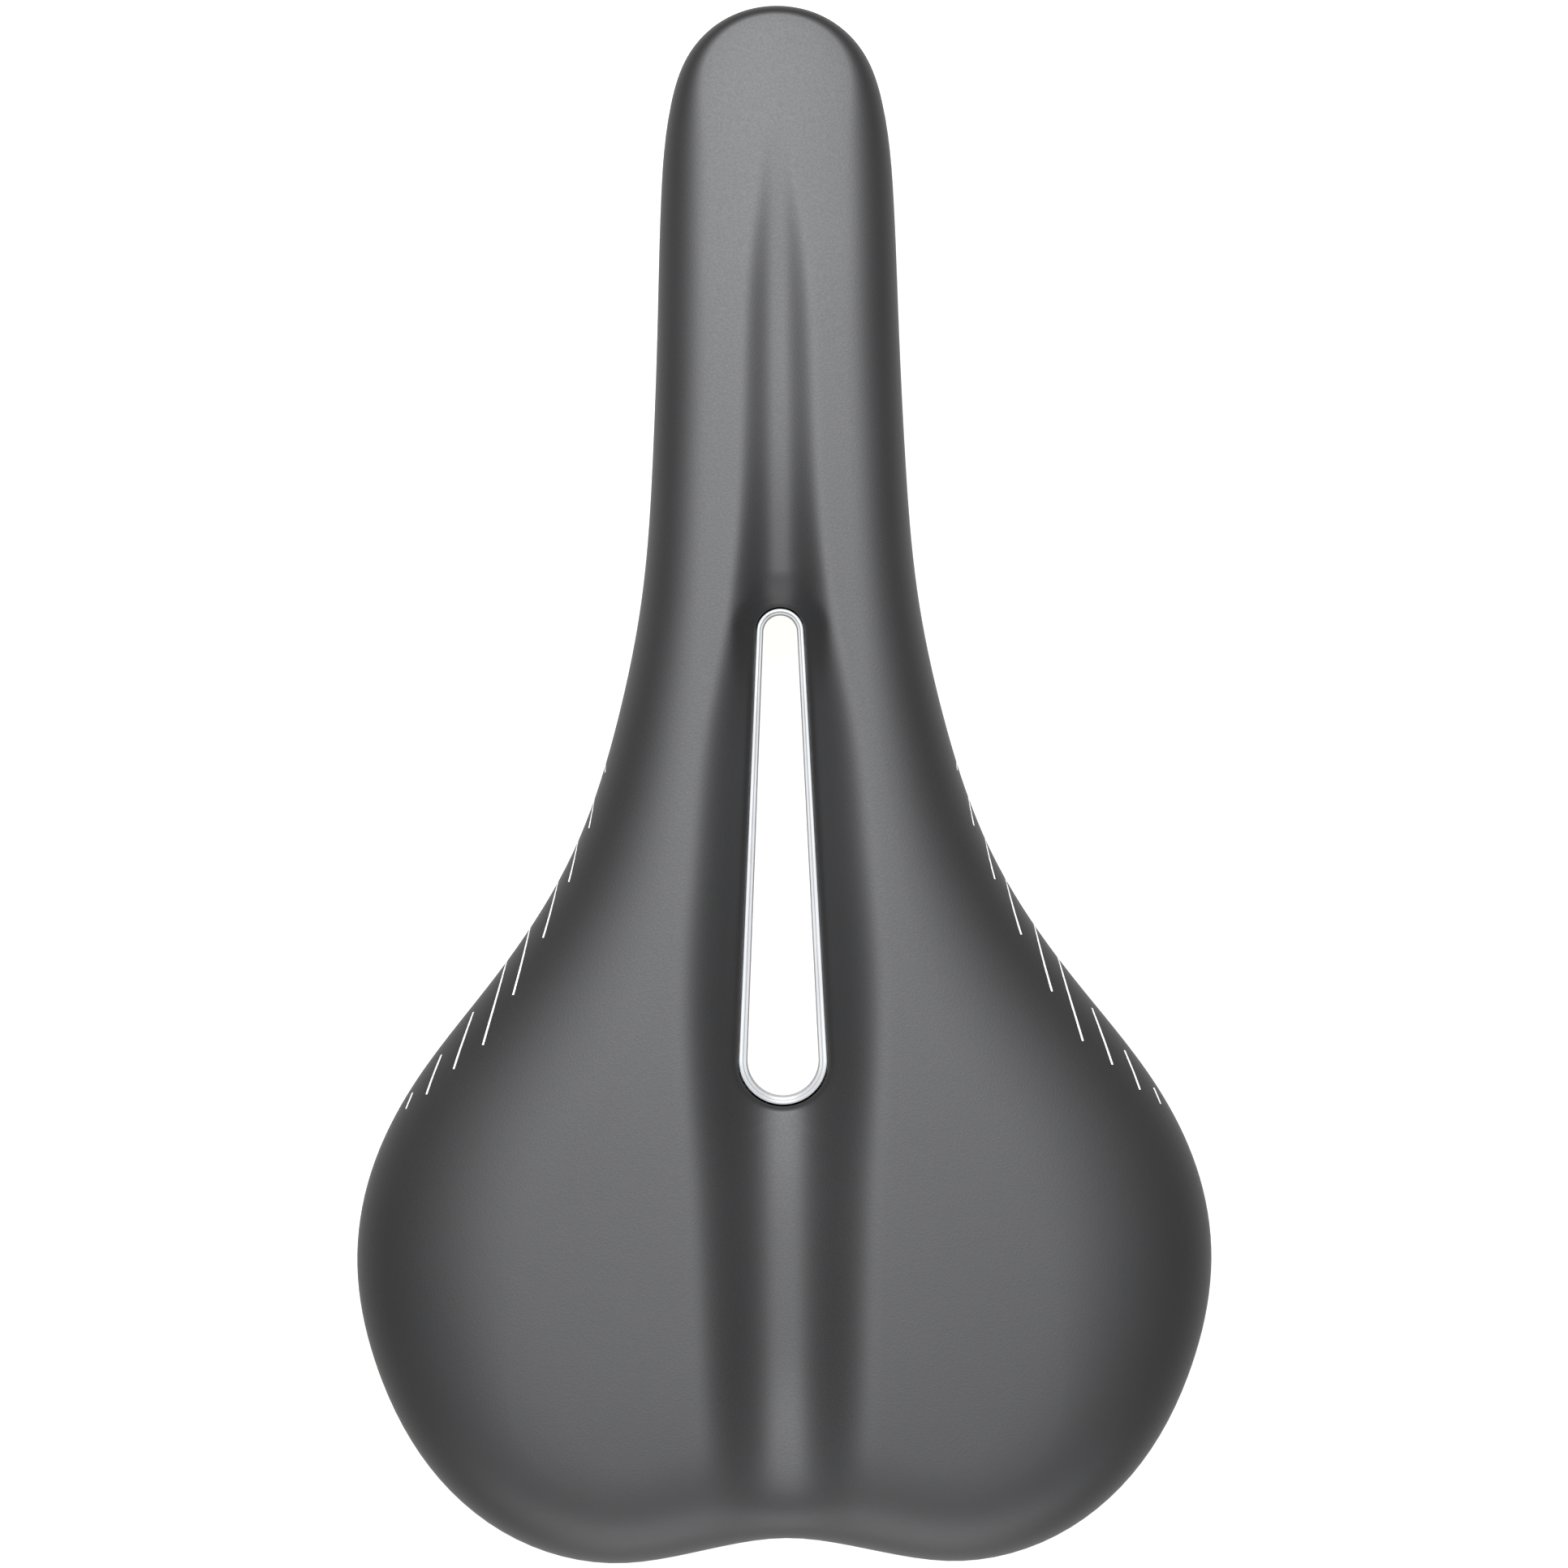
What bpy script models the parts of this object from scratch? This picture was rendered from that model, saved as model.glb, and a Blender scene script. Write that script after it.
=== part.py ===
"""Bicycle saddle: a padded cover with a relief cut-out, on a nylon base and bent steel rails.

The origin is the middle of the rails' clamp zone, at the height of their centre lines.
+X is the rider's right, +Y points to the nose and +Z is up. Sizes are in millimetres and
become metres when a mesh is made. "Back" is the distance behind the nose tip.
"""
import math

import bmesh
import bpy
import numpy as np
from mathutils import Matrix, Vector

MM = 0.001
GAP = 0.3                     # clearance between touching pieces
MERGE = 0.00005               # merge distance of the modifiers, in metres

# Plan view of the right half: (sideways, back) from the nose tip round to the tail centre.
NOSE_TO_CLAMP = 152.0
OUTLINE = [(0, 0), (9.3, 2.4), (15.4, 8.2), (18.7, 17), (20.6, 34), (21.4, 57), (22.4, 80),
           (24.4, 103.5), (29.1, 126.5), (37.1, 149.5), (51.9, 172.5), (65.4, 190), (73.7, 207),
           (75.9, 221.5), (72.0, 241.6), (62.3, 259), (48.4, 270.4), (29.8, 275), (15.6, 273),
           (0, 270.8)]

# The cut-out: two circles of different radius, joined by their tangent lines.
CUTOUT_FRONT, CUTOUT_FRONT_RADIUS = 110.6, 4.4
CUTOUT_REAR, CUTOUT_REAR_RADIUS = 186.4, 8.06
CUTOUT_ROLL = 1.2             # radius of the cover's rolled edge at the cut-out

# Mesh zones along the saddle: name, where on the flank each one ends (back), rows of faces.
ZONES = (("nose", 17, 5), ("front", 103, 6), ("cutout_front", 112, 3), ("cutout_side", 186, 6),
         ("cutout_rear", 202, 4), ("rear", 243, 4), ("tail", None, 6))
NOSE_FAN, NOSE_FAN_END = 18, 26
TAIL_FAN, TAIL_FAN_END = 238, 254

# Heights and widths along the saddle: (back, value).
SEAT_TOP = [(0, 41), (12, 41.9), (30, 42.75), (50, 43.3), (70, 43.5), (100, 43.6), (130, 44),
            (150, 44.6), (190, 46.3), (230, 48.4), (255, 49.6), (275, 50)]
CROWN = [(0, 0.003), (100, 0.002), (150, 0.0012), (200, 0.0008), (275, 0.0007)]
EDGE_WIDTH = [(0, 2), (8, 3.6), (20, 7.2), (35, 8.8), (60, 9.6), (100, 11), (130, 14.2), (150, 18),
              (190, 28.5), (215, 30), (240, 25), (250, 21), (262, 16), (275, 12)]
EDGE_DROP = [(0, 6), (30, 8), (60, 9.2), (100, 11.5), (150, 14), (200, 16), (240, 15.5), (275, 14)]
EDGE_POWER = [(0, 2.8), (25, 2.5), (90, 2.5), (150, 2.3), (200, 2.2), (275, 2.2)]
SKIRT_END = [(0, 15), (25, 13), (60, 12.5), (100, 15), (150, 18.2), (200, 20.3), (240, 23.3),
             (275, 28)]
SKIRT_TUCK = 1.5
SKIRT_LIFT = 1.6              # the side wall stops this far above the skirt's end

# The groove along the middle, deepest at the cut-out: half width, depth and where it fades out.
GROOVE_WIDTH = [(24, 3), (33, 4.4), (43, 6), (58, 7.2), (90, 8.5), (104, 9.9), (115, 12), (130, 15.5),
                (150, 18), (170, 19.8), (190, 19.6), (210, 18.3), (245, 17), (275, 16)]
GROOVE_DEPTH = [(22, 0), (30, 0.2), (50, 1.1), (90, 2.6), (105, 4.4), (120, 5.6), (150, 7.2),
                (175, 8.8), (190, 8.5), (205, 7.1), (220, 6.5), (232, 6.3), (242, 6), (250, 5.3),
                (256, 4.5), (262, 3.2), (268, 1.5), (275, 0)]
LIP_DROP, LIP_REACH, LIP_END = 2.4, 4.6, (108, 124)   # deeper rolled lip round the cut-out's front

# Layers.
COVER, SHELL = 1.0, 2.0
FOAM = [(0, 11), (100, 12), (200, 14), (275, 13)]
FOAM_GAP = 0.45               # clearance round the foam at the base and at the cut-out
SHELL_INSET = 4.0             # base rim inside the outline
SHELL_RISE = 3.3              # base rim above the skirt's end
SHELL_EDGE_WIDTH = [(0, 6), (60, 6), (120, 8), (200, 14), (275, 12)]
SHELL_EDGE_POWER = 2.5
SHELL_HOLE = 0.2              # base opening outside the cut-out
LONG_RIB = [(10.5, 98), (13, 145), (15, 206)]
WING_RIB = [(14.8, 186), (58, 206)]
FRONT_CROSS_RIB, REAR_CROSS_RIB = (10.2, 99.5), (14.7, 204)
RIB_WIDTH, RIB_HEIGHT, RIB_STEP = 2.0, 5.0, 12
NOSE_SEAT, NOSE_SEAT_WIDTH = [(0, 24), (0, 58)], 19.0
FLANGE, FLANGE_GAP = 7.0, 0.9  # cover turned up inside the rim, and its room there
TURN_RISE, TURN_CORNER = 0.1, 0.8  # the turn's lowest line above the skirt's end; its cut corners
LINER_FRONT_WALL, LINER_REAR_WALL = 1.1, 1.45
LINER_LIP, LINER_LIP_THICKNESS = 3.0, 1.2
LINER_DROP, LINER_GAP = 0.3, 0.4   # below the cover's rolled edge, and below the base

# Rails.
RAIL_RADIUS = 3.5
RAIL_SIDES = 12
RAIL_HALF_SPACING = 22.0
RAIL_LOOP_Y, RAIL_LOOP_Z, RAIL_LOOP_RADIUS = 117.0, 16.5, 8.0
RAIL_NECK = (8.0, 104.0, 16.5)
RAIL_SPREAD = (11.5, 72.0, 8.0)
RAIL_FRONT_BEND = (RAIL_HALF_SPACING, 47.5, 0.0)
RAIL_REAR_BEND = (RAIL_HALF_SPACING, -46.0, 0.0)
RAIL_END = (33.0, -92.0, 18.0)
RAIL_BENDS = (25.0, 30.0, 30.0, 24.0)

# Nose clip and its screws.
CLIP_HALF_WIDTH, CLIP_FRONT, CLIP_REAR = 11.5, 133.0, 93.0
CLIP_BOTTOM, CLIP_TOP = 9.5, 16.5
CLIP_SCREWS = (("front", 116.0), ("rear", 98.5))

# Rear sockets, measured from the rail end along its heading.
SOCKET_WIDTH = 15.0
PLATE_LENGTH, PLATE_WIDTH, PLATE_THICKNESS, PLATE_TOP = 22.0, 31.0, 3.5, 28.4
PLATE_OFFSET = -4.0
SOCKET_SCREW_OFFSET = 11.3
SOCKET_DEPTH, SOCKET_HALF_HEIGHT = 20.0, 7.6
SOCKET_TOP = (-13.0, 6.0)      # where the body meets the plate, front and back
SOCKET_HEEL = ((8.0, 16.5), (3.0, 9.9))  # lower back corners: (along the heading, height)
BORE_STOP, BORE_LENGTH = 1.8, 30.0
BUSHING_RADIUS, BUSHING_COLLAR, BUSHING_COLLAR_LENGTH = 5.3, 6.6, 1.6
BUSHING_SETBACK = 1.0         # sleeve's end before the rail's end

# Screws.
SCREW_HEAD, SCREW_HEAD_HEIGHT = 3.2, 2.0
SCREW_SHANK, NOSE_SCREW_LENGTH, SOCKET_SCREW_LENGTH = 1.5, 10.0, 7.4
SCREW_TIP, SCREW_POINT = 0.6, 1.6      # radius of the blunt tip, length of the point
SCREW_ROUND = 0.9             # chamfer of the head
SCREW_DRIVE_MOUTH, SCREW_DRIVE_FLOOR, SCREW_DRIVE_DEPTH = 1.3, 1.0, 1.2
BOSS_RADIUS, NOSE_BOSS_TOP, NOSE_HOLE_TOP = 3.5, 24.0, 22.5

# Staples along the rim: distances back of their middles.
STAPLE_WIDTH, STAPLE_WIRE, STAPLE_BREADTH, STAPLE_LEG = 9.0, 0.6, 1.0, 3.2
STAPLE_RISE = 3.6             # up the flange from the rim
STAPLE_GAP = 0.7              # room for the flange's curve under a straight crown
SLOT_TOP = 0.7                # staple slots start this far above the crown's underside
STAPLES = (21, 56, 78, 100, 122, 144, 165, 184, 203, 221, 240, 258)


def clear_scene():
    for item in list(bpy.data.objects):
        bpy.data.objects.remove(item, do_unlink=True)


def make_collection(name):
    group = bpy.data.collections.new(name)
    bpy.context.scene.collection.children.link(group)
    return group


clear_scene()
SADDLE = make_collection("bicycle_saddle")
CUTTERS = make_collection("cutters")


def make_material(name, color, roughness, metallic=0.0):
    material = bpy.data.materials.new(name)
    material.use_nodes = True
    shader = material.node_tree.nodes["Principled BSDF"]
    shader.inputs["Base Color"].default_value = (*color, 1)
    shader.inputs["Roughness"].default_value = roughness
    shader.inputs["Metallic"].default_value = metallic
    return material


BLACK_SYNTHETIC = make_material("black_synthetic", (0.035, 0.035, 0.037), 0.55)
GREY_FOAM = make_material("grey_foam", (0.25, 0.25, 0.26), 0.95)
BLACK_NYLON = make_material("black_nylon", (0.02, 0.02, 0.021), 0.5)
PALE_PLASTIC = make_material("pale_plastic", (0.75, 0.77, 0.79), 0.4)
SATIN_STEEL = make_material("satin_steel", (0.55, 0.55, 0.56), 0.35, 1.0)
BLACK_RUBBER = make_material("black_rubber", (0.025, 0.025, 0.025), 0.8)
BRIGHT_STEEL = make_material("bright_steel", (0.62, 0.62, 0.63), 0.3, 1.0)


# ---------------------------------------------------------------- curves and heights

def ramp(value, start, end):
    """Smooth rise from 0 at start to 1 at end."""
    share = min(max((value - start) / (end - start), 0.0), 1.0)
    return share ** 3 * (10 - 15 * share + 6 * share ** 2)


def smooth_curve(points):
    """Natural cubic spline through (place, value) pairs; a value is a number or a vector."""
    place = np.array([pair[0] for pair in points], float)
    value = np.array([pair[1] for pair in points], float)
    gap = np.diff(place)
    rise = (np.diff(value, axis=0).T / gap).T
    system = np.eye(len(place))
    right = np.zeros_like(value)
    for i in range(1, len(place) - 1):
        system[i, i - 1:i + 2] = gap[i - 1], 2 * (gap[i - 1] + gap[i]), gap[i]
        right[i] = 6 * (rise[i] - rise[i - 1])
    bend = np.linalg.solve(system, right)

    def at(where):
        i = int(np.clip(np.searchsorted(place, where) - 1, 0, len(gap) - 1))
        before, after, width = where - place[i], place[i + 1] - where, gap[i]
        line = (value[i] * after + value[i + 1] * before) / width
        sag = bend[i] * (after ** 3 / width - after * width)
        sag = sag + bend[i + 1] * (before ** 3 / width - before * width)
        return line + sag / 6

    return at


def profile(points):
    """Smooth value along the saddle, held constant past both ends."""
    curve = smooth_curve(points)
    first, last = points[0][0], points[-1][0]
    return lambda back: float(curve(min(max(back, first), last)))


seat_top, crown = profile(SEAT_TOP), profile(CROWN)
edge_width, edge_drop, edge_power = profile(EDGE_WIDTH), profile(EDGE_DROP), profile(EDGE_POWER)
skirt_end, foam = profile(SKIRT_END), profile(FOAM)
shell_edge_width = profile(SHELL_EDGE_WIDTH)
groove_width, groove_depth = profile(GROOVE_WIDTH), profile(GROOVE_DEPTH)


def make_outline():
    """Plan outline as a function: 0 at the nose tip, 1 at the tail centre, mirrored past both."""
    right = [np.array(point, float) for point in OUTLINE]
    flip = np.array((-1.0, 1.0))
    before = [flip * point for point in right[4:0:-1]]
    after = [flip * point for point in right[-2:-6:-1]]
    points = before + right + after
    steps = [np.linalg.norm(b - a) for a, b in zip(points, points[1:])]
    length = np.concatenate(([0.0], np.cumsum(steps)))
    start = length[len(before)]
    span = length[len(before) + len(right) - 1] - start
    return smooth_curve([((place - start) / span, point) for place, point in zip(length, points)])


outline = make_outline()
EDGE_SHARES = np.linspace(-0.08, 1.08, 901)
EDGE_POINTS = np.array([outline(share) for share in EDGE_SHARES])


def outline_share(back):
    """Place on the outline where the right flank is this far back."""
    inside = (EDGE_SHARES >= 0) & (EDGE_SHARES <= 0.85)
    return float(np.interp(back, EDGE_POINTS[inside, 1], EDGE_SHARES[inside]))


def outline_normal(share):
    step = 0.0005
    along = outline(share + step) - outline(share - step)
    return np.array((along[1], -along[0])) / np.linalg.norm(along)


def edge_distance(x, back):
    """Shortest plan distance from a point to the outline."""
    point = np.array((abs(x), back))
    start, along = EDGE_POINTS[:-1], np.diff(EDGE_POINTS, axis=0)
    share = np.sum((point - start) * along, axis=1) / np.sum(along * along, axis=1)
    nearest = start + along * np.clip(share, 0, 1)[:, None]
    return float(np.min(np.linalg.norm(nearest - point, axis=1)))


def lip_drop(x, back):
    """Extra roll of the cover towards the front end of the cut-out."""
    away = math.hypot(x, min(back - CUTOUT_FRONT, 0)) - CUTOUT_FRONT_RADIUS
    return LIP_DROP * (1 - ramp(away, 0, LIP_REACH)) * (1 - ramp(back, *LIP_END))


def seat_height(x, back, at_edge=False):
    """Top of the cover: crown, groove and rounded edge."""
    groove = groove_depth(back) * (1 - ramp(abs(x), 0, groove_width(back)))
    share = 1.0 if at_edge else max(0.0, 1 - edge_distance(x, back) / edge_width(back))
    power = edge_power(back)
    rounding = edge_drop(back) * (1 - (1 - share ** power) ** (1 / power))
    return seat_top(back) - crown(back) * x * x - groove - rounding - lip_drop(x, back)


def shell_height(x, back, inset=None):
    """Upper face of the base: smooth under the foam, turned down to its rim."""
    inset = edge_distance(x, back) if inset is None else inset
    share = max(0.0, 1 - (inset - SHELL_INSET) / shell_edge_width(back))
    flat = seat_top(back) - crown(back) * x * x - foam(back)
    rim = skirt_end(back) + SHELL_RISE
    return flat + (rim - flat) * share ** SHELL_EDGE_POWER


def cutout_point(turn, offset=0.0):
    """Cut-out edge, right half: 0-1 front arc, 1-2 straight side, 2-3 rear arc."""
    lean = math.asin((CUTOUT_REAR_RADIUS - CUTOUT_FRONT_RADIUS) / (CUTOUT_REAR - CUTOUT_FRONT))
    side = math.pi / 2 - lean
    front, rear = CUTOUT_FRONT_RADIUS + offset, CUTOUT_REAR_RADIUS + offset

    def on_circle(middle, radius, angle):
        return np.array((radius * math.sin(angle), middle - radius * math.cos(angle)))

    if turn <= 1:
        return on_circle(CUTOUT_FRONT, front, side * turn)
    if turn >= 2:
        return on_circle(CUTOUT_REAR, rear, side + (math.pi - side) * (turn - 2))
    start, end = on_circle(CUTOUT_FRONT, front, side), on_circle(CUTOUT_REAR, rear, side)
    return start + (end - start) * (turn - 1)


# ---------------------------------------------------------------- sections across the saddle

class Station:
    """One section: its zone, its point on the outline and the outward direction there."""

    def __init__(self, zone, fraction, share):
        self.zone, self.fraction = zone, fraction
        self.edge, self.normal = outline(share), outline_normal(share)
        if share in (0.0, 1.0):
            self.edge[0] = 0.0
            self.normal = np.array((0.0, np.sign(self.normal[1])))
        self.back = self.edge[1]
        self.cutout_turn = None
        turns = {"cutout_front": 0, "cutout_side": 1, "cutout_rear": 2}
        if zone in turns:
            self.cutout_turn = turns[zone] + fraction
        elif zone == "rear" and fraction == 0:
            self.cutout_turn = 3.0

    def inner(self, offset):
        """Where the section starts: on the middle line, or outside the cut-out by offset."""
        if self.cutout_turn is not None:
            return cutout_point(self.cutout_turn, offset)
        front_end = CUTOUT_FRONT - CUTOUT_FRONT_RADIUS - offset
        rear_end = CUTOUT_REAR + CUTOUT_REAR_RADIUS + offset
        start, end = {"nose": (NOSE_FAN, NOSE_FAN_END), "front": (NOSE_FAN_END, front_end),
                      "rear": (rear_end, TAIL_FAN), "tail": (TAIL_FAN, TAIL_FAN_END)}[self.zone]
        return np.array((0.0, start + (end - start) * self.fraction))

    def at(self, inset):
        """Plan point this far in from the outline."""
        return self.edge - self.normal * inset


def make_stations():
    found, start = [], 0.0
    for zone, back, steps in ZONES:
        end = 1.0 if back is None else outline_share(back)
        for i in range(steps):
            found.append(Station(zone, i / steps, start + (end - start) * i / steps))
        start = end
    found.append(Station("tail", 1.0, 1.0))
    return found


STATIONS = make_stations()
CUTOUT_STATIONS = [station for station in STATIONS if station.cutout_turn is not None]


def plan_line(start, end, normal, stops):
    """Plan points at given distances along a line that meets the edge squarely."""
    control = end - normal * np.linalg.norm(end - start) * 0.5
    t = np.linspace(0, 1, 41)[:, None]
    line = (1 - t) ** 2 * start + 2 * t * (1 - t) * control + t ** 2 * end
    lengths = np.concatenate(([0.0], np.cumsum(np.linalg.norm(np.diff(line, axis=0), axis=1))))
    wanted = np.array(stops) * lengths[-1]
    return [np.array((np.interp(s, lengths, line[:, 0]), np.interp(s, lengths, line[:, 1])))
            for s in wanted]


def stops_along(length, groove, edge, edge_steps):
    """Shares of a section's length: through the groove, over the flat, round the edge."""
    groove = min(groove, 0.4 * length)
    flat_end = length - min(edge, 0.5 * length)
    stops = [groove * share for share in (0, 0.25, 0.5, 0.75, 1)]
    stops.append((groove + flat_end) / 2)
    stops += [flat_end + (length - flat_end) * share for share in edge_steps]
    return [stop / length for stop in stops]


def lift(point, height):
    """Plan point and height, in world axes."""
    return np.array((point[0], NOSE_TO_CLAMP - point[1], height))


def seat_section(station, offset):
    """Cover surface from the groove or cut-out to the widest line."""
    start = station.inner(offset)
    length = np.linalg.norm(station.edge - start)
    groove = max(groove_width(start[1]) - start[0], 3.0)
    stops = stops_along(length, groove, edge_width(station.back), (0, 0.55, 0.85, 1))
    points = plan_line(start, station.edge, station.normal, stops)
    section = [lift(p, seat_height(*p)) for p in points[:-1]]
    return section + [lift(station.edge, seat_height(*station.edge, at_edge=True))]


def skirt_section(station, shares):
    """Side wall from the widest line down, leaning in towards its end."""
    top = seat_height(*station.edge, at_edge=True)
    end = skirt_end(station.back) + SKIRT_LIFT
    return [lift(station.at(SKIRT_TUCK * s * s), top + (end - top) * s) for s in shares]


def shell_at(station, inset):
    return shell_height(*station.at(inset), inset)


def below_shell(station, inset, depth):
    """Point a given depth square below the base's upper face, near the rim."""
    step = 0.05
    slope = (shell_at(station, inset + step) - shell_at(station, inset - step)) / (2 * step)
    tilt = math.atan(slope)
    return lift(station.at(inset + depth * math.sin(tilt)),
                shell_at(station, inset) - depth * math.cos(tilt)), tilt


def flange_section(station):
    """The cover's turn under the rim and its flange inside the base."""
    depth = SHELL + FLANGE_GAP + COVER
    first, tilt = below_shell(station, SHELL_INSET, depth)
    last, _ = below_shell(station, SHELL_INSET + FLANGE * math.cos(tilt), depth)
    middle, _ = below_shell(station, SHELL_INSET + FLANGE * math.cos(tilt) / 2, depth)
    low = skirt_end(station.back) + TURN_RISE
    outer = SKIRT_TUCK + TURN_CORNER
    inner = SHELL_INSET + depth * math.sin(tilt) - TURN_CORNER
    return [lift(station.at(outer), low), lift(station.at(inner), low), first, middle, last]


def shell_section(station, offset):
    """Upper face of the base from its opening or the middle line to its rim."""
    start, end = station.inner(offset), station.at(SHELL_INSET)
    length = np.linalg.norm(end - start)
    flat_end = length - min(shell_edge_width(station.back), 0.5 * length)
    stops = [0, 0.5 * flat_end, flat_end]
    stops += [flat_end + (length - flat_end) * share for share in (0.4, 0.7, 0.88, 1)]
    points = plan_line(start, end, station.normal, [stop / length for stop in stops])
    section = [lift(p, shell_height(*p)) for p in points[:-1]]
    return section + [lift(end, shell_height(*end, SHELL_INSET))]


# ---------------------------------------------------------------- mesh helpers

def add_grid(mesh, rows, flip=False):
    """Quads between rows of points; their normals face up for rows that run outwards."""
    corners = [[mesh.verts.new(Vector(point) * MM) for point in row] for row in rows]
    for near, far in zip(corners, corners[1:]):
        for i in range(len(near) - 1):
            face = (near[i], far[i], far[i + 1], near[i + 1])
            mesh.faces.new(face[::-1] if flip else face)


def to_object(name, mesh, material, group=None):
    data = bpy.data.meshes.new(name)
    mesh.to_mesh(data)
    mesh.free()
    item = bpy.data.objects.new(name, data)
    (group or SADDLE).objects.link(item)
    data.materials.append(material)
    if group is CUTTERS:
        item.hide_render = True
        item.display_type = "WIRE"
    return item


def offset_grid(rows, distance):
    """Move a half surface square to itself; points on the middle plane stay on it."""
    mesh = bmesh.new()
    add_grid(mesh, rows)
    mesh.normal_update()
    vertices = list(mesh.verts)
    moved, count = [], 0
    for row in rows:
        line = []
        for point in row:
            normal = vertices[count].normal.copy()
            if abs(point[0]) < 1e-6:
                normal.x = 0
                normal.normalize()
            line.append(np.array(point) + np.array(normal) * distance)
            count += 1
        moved.append(line)
    mesh.free()
    return moved


def weld(mesh):
    bmesh.ops.remove_doubles(mesh, verts=mesh.verts, dist=1e-6)


def snap_to_middle(mesh):
    for vertex in mesh.verts:
        if abs(vertex.co.x) < 1e-6:
            vertex.co.x = 0.0


def add_mirror(item):
    mirror = item.modifiers.new("other_half", "MIRROR")
    mirror.use_clip = True
    mirror.merge_threshold = MERGE


def add_thickness(item, thickness):
    solid = item.modifiers.new("thickness", "SOLIDIFY")
    solid.thickness = thickness * MM
    solid.offset = -1


def add_boolean(item, other, operation="DIFFERENCE"):
    cut = item.modifiers.new(other.name, "BOOLEAN")
    cut.operation = operation
    cut.object = other
    cut.solver = "EXACT"


def evaluated_mesh(item):
    bpy.context.view_layer.update()
    graph = bpy.context.evaluated_depsgraph_get()
    return bpy.data.meshes.new_from_object(item.evaluated_get(graph))


def mirrored_copy(item, name):
    """The same piece on the other side, as an object of its own."""
    data = evaluated_mesh(item)
    data.transform(Matrix.Scale(-1, 4, (1, 0, 0)) @ item.matrix_world)
    data.flip_normals()
    copy = bpy.data.objects.new(name, data)
    SADDLE.objects.link(copy)
    return copy


def curve_to_mesh(item):
    """Replace a curve object by a mesh object with its caps welded."""
    data = evaluated_mesh(item)
    mesh = bmesh.new()
    mesh.from_mesh(data)
    weld(mesh)
    mesh.to_mesh(data)
    mesh.free()
    name, place, group = item.name, item.matrix_world.copy(), item.users_collection[0]
    hidden, display = item.hide_render, item.display_type
    bpy.data.objects.remove(item, do_unlink=True)
    solid = bpy.data.objects.new(name, data)
    solid.matrix_world = place
    solid.hide_render, solid.display_type = hidden, display
    group.objects.link(solid)
    return solid


def make_curve(name, points, material, group=None, closed=False):
    data = bpy.data.curves.new(name, "CURVE")
    spline = data.splines.new("POLY")
    spline.points.add(len(points) - 1)
    for target, point in zip(spline.points, points):
        target.co = (*(Vector(point) * MM), 1)
    spline.use_cyclic_u = closed
    item = bpy.data.objects.new(name, data)
    (group or SADDLE).objects.link(item)
    data.materials.append(material)
    if group is CUTTERS:
        item.hide_render = True
        item.display_type = "WIRE"
    return item


def make_tube(name, points, radius, material, group=None):
    """Round bar along points, with one flat facing up and one facing down."""
    item = make_curve(name, points, material, group)
    data = item.data
    data.dimensions = "3D"
    data.twist_mode = "Z_UP"
    data.use_fill_caps = True
    data.bevel_resolution = RAIL_SIDES // 2 - 2
    data.bevel_depth = radius / math.cos(math.pi / RAIL_SIDES) * MM
    for point in data.splines[0].points:
        point.tilt = math.pi / RAIL_SIDES
    return curve_to_mesh(item)


def make_plate(name, points, thickness, material, group=None):
    """Flat outline in its own XY plane, thickened both ways."""
    item = make_curve(name, [(x, y, 0) for x, y in points], material, group, closed=True)
    item.data.dimensions = "2D"
    item.data.fill_mode = "BOTH"
    item.data.extrude = thickness / 2 * MM
    return item


def make_turned(name, points, material, group=None, steps=16):
    """Turned solid about Z from (radius, height) points, top to bottom."""
    mesh = bmesh.new()
    corners = [mesh.verts.new((radius * MM, 0, height * MM)) for radius, height in points]
    for a, b in zip(corners, corners[1:]):
        mesh.edges.new((a, b))
    item = to_object(name, mesh, material, group)
    turn = item.modifiers.new("turned", "SCREW")
    turn.steps = turn.render_steps = steps
    turn.use_merge_vertices = True
    turn.merge_threshold = 0.00001
    return item


def make_posts(name, posts, sides=16):
    """Upright round posts in one cutter, each given by radius, bottom, top and plan place."""
    mesh = bmesh.new()
    for radius, bottom, top, (x, y) in posts:
        middle = Matrix.Translation(Vector((x, y, (bottom + top) / 2)) * MM)
        bmesh.ops.create_cone(mesh, cap_ends=True, segments=sides, radius1=radius * MM,
                              radius2=radius * MM, depth=(top - bottom) * MM, matrix=middle)
    return to_object(name, mesh, BLACK_NYLON, CUTTERS)


def shade_round(item, angle=35):
    item.data.shade_smooth()
    item.data.set_sharp_from_angle(angle=math.radians(angle))


# ---------------------------------------------------------------- cover, padding, base, liner

def roll_drop(offset):
    """How far the rolled edge has dropped at this distance outside the cut-out."""
    share = 1 - offset / CUTOUT_ROLL
    return CUTOUT_ROLL * (1 - math.sqrt(max(0.0, 1 - share * share)))


def make_cover():
    """The skin: top, skirt, turned-under flange and the rolled edge inside the cut-out."""
    mesh = bmesh.new()
    rows = []
    for station in STATIONS:
        section = seat_section(station, CUTOUT_ROLL)
        rows.append(section + skirt_section(station, (0.5, 1)) + flange_section(station))
    add_grid(mesh, rows)
    wall = []
    for station in CUTOUT_STATIONS:
        edge = station.inner(0)
        bottom = shell_height(*station.inner(COVER / 2)) + 2 * GAP
        line = [lift(edge, bottom)]
        for share in (0.0, 0.3, 1.0):
            offset = CUTOUT_ROLL * share
            point = station.inner(offset)
            line.append(lift(point, seat_height(*point) - roll_drop(offset)))
        wall.append(line)
    add_grid(mesh, wall)
    weld(mesh)
    snap_to_middle(mesh)
    cover = to_object("cover", mesh, BLACK_SYNTHETIC)
    add_mirror(cover)
    add_thickness(cover, COVER)
    return cover


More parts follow.
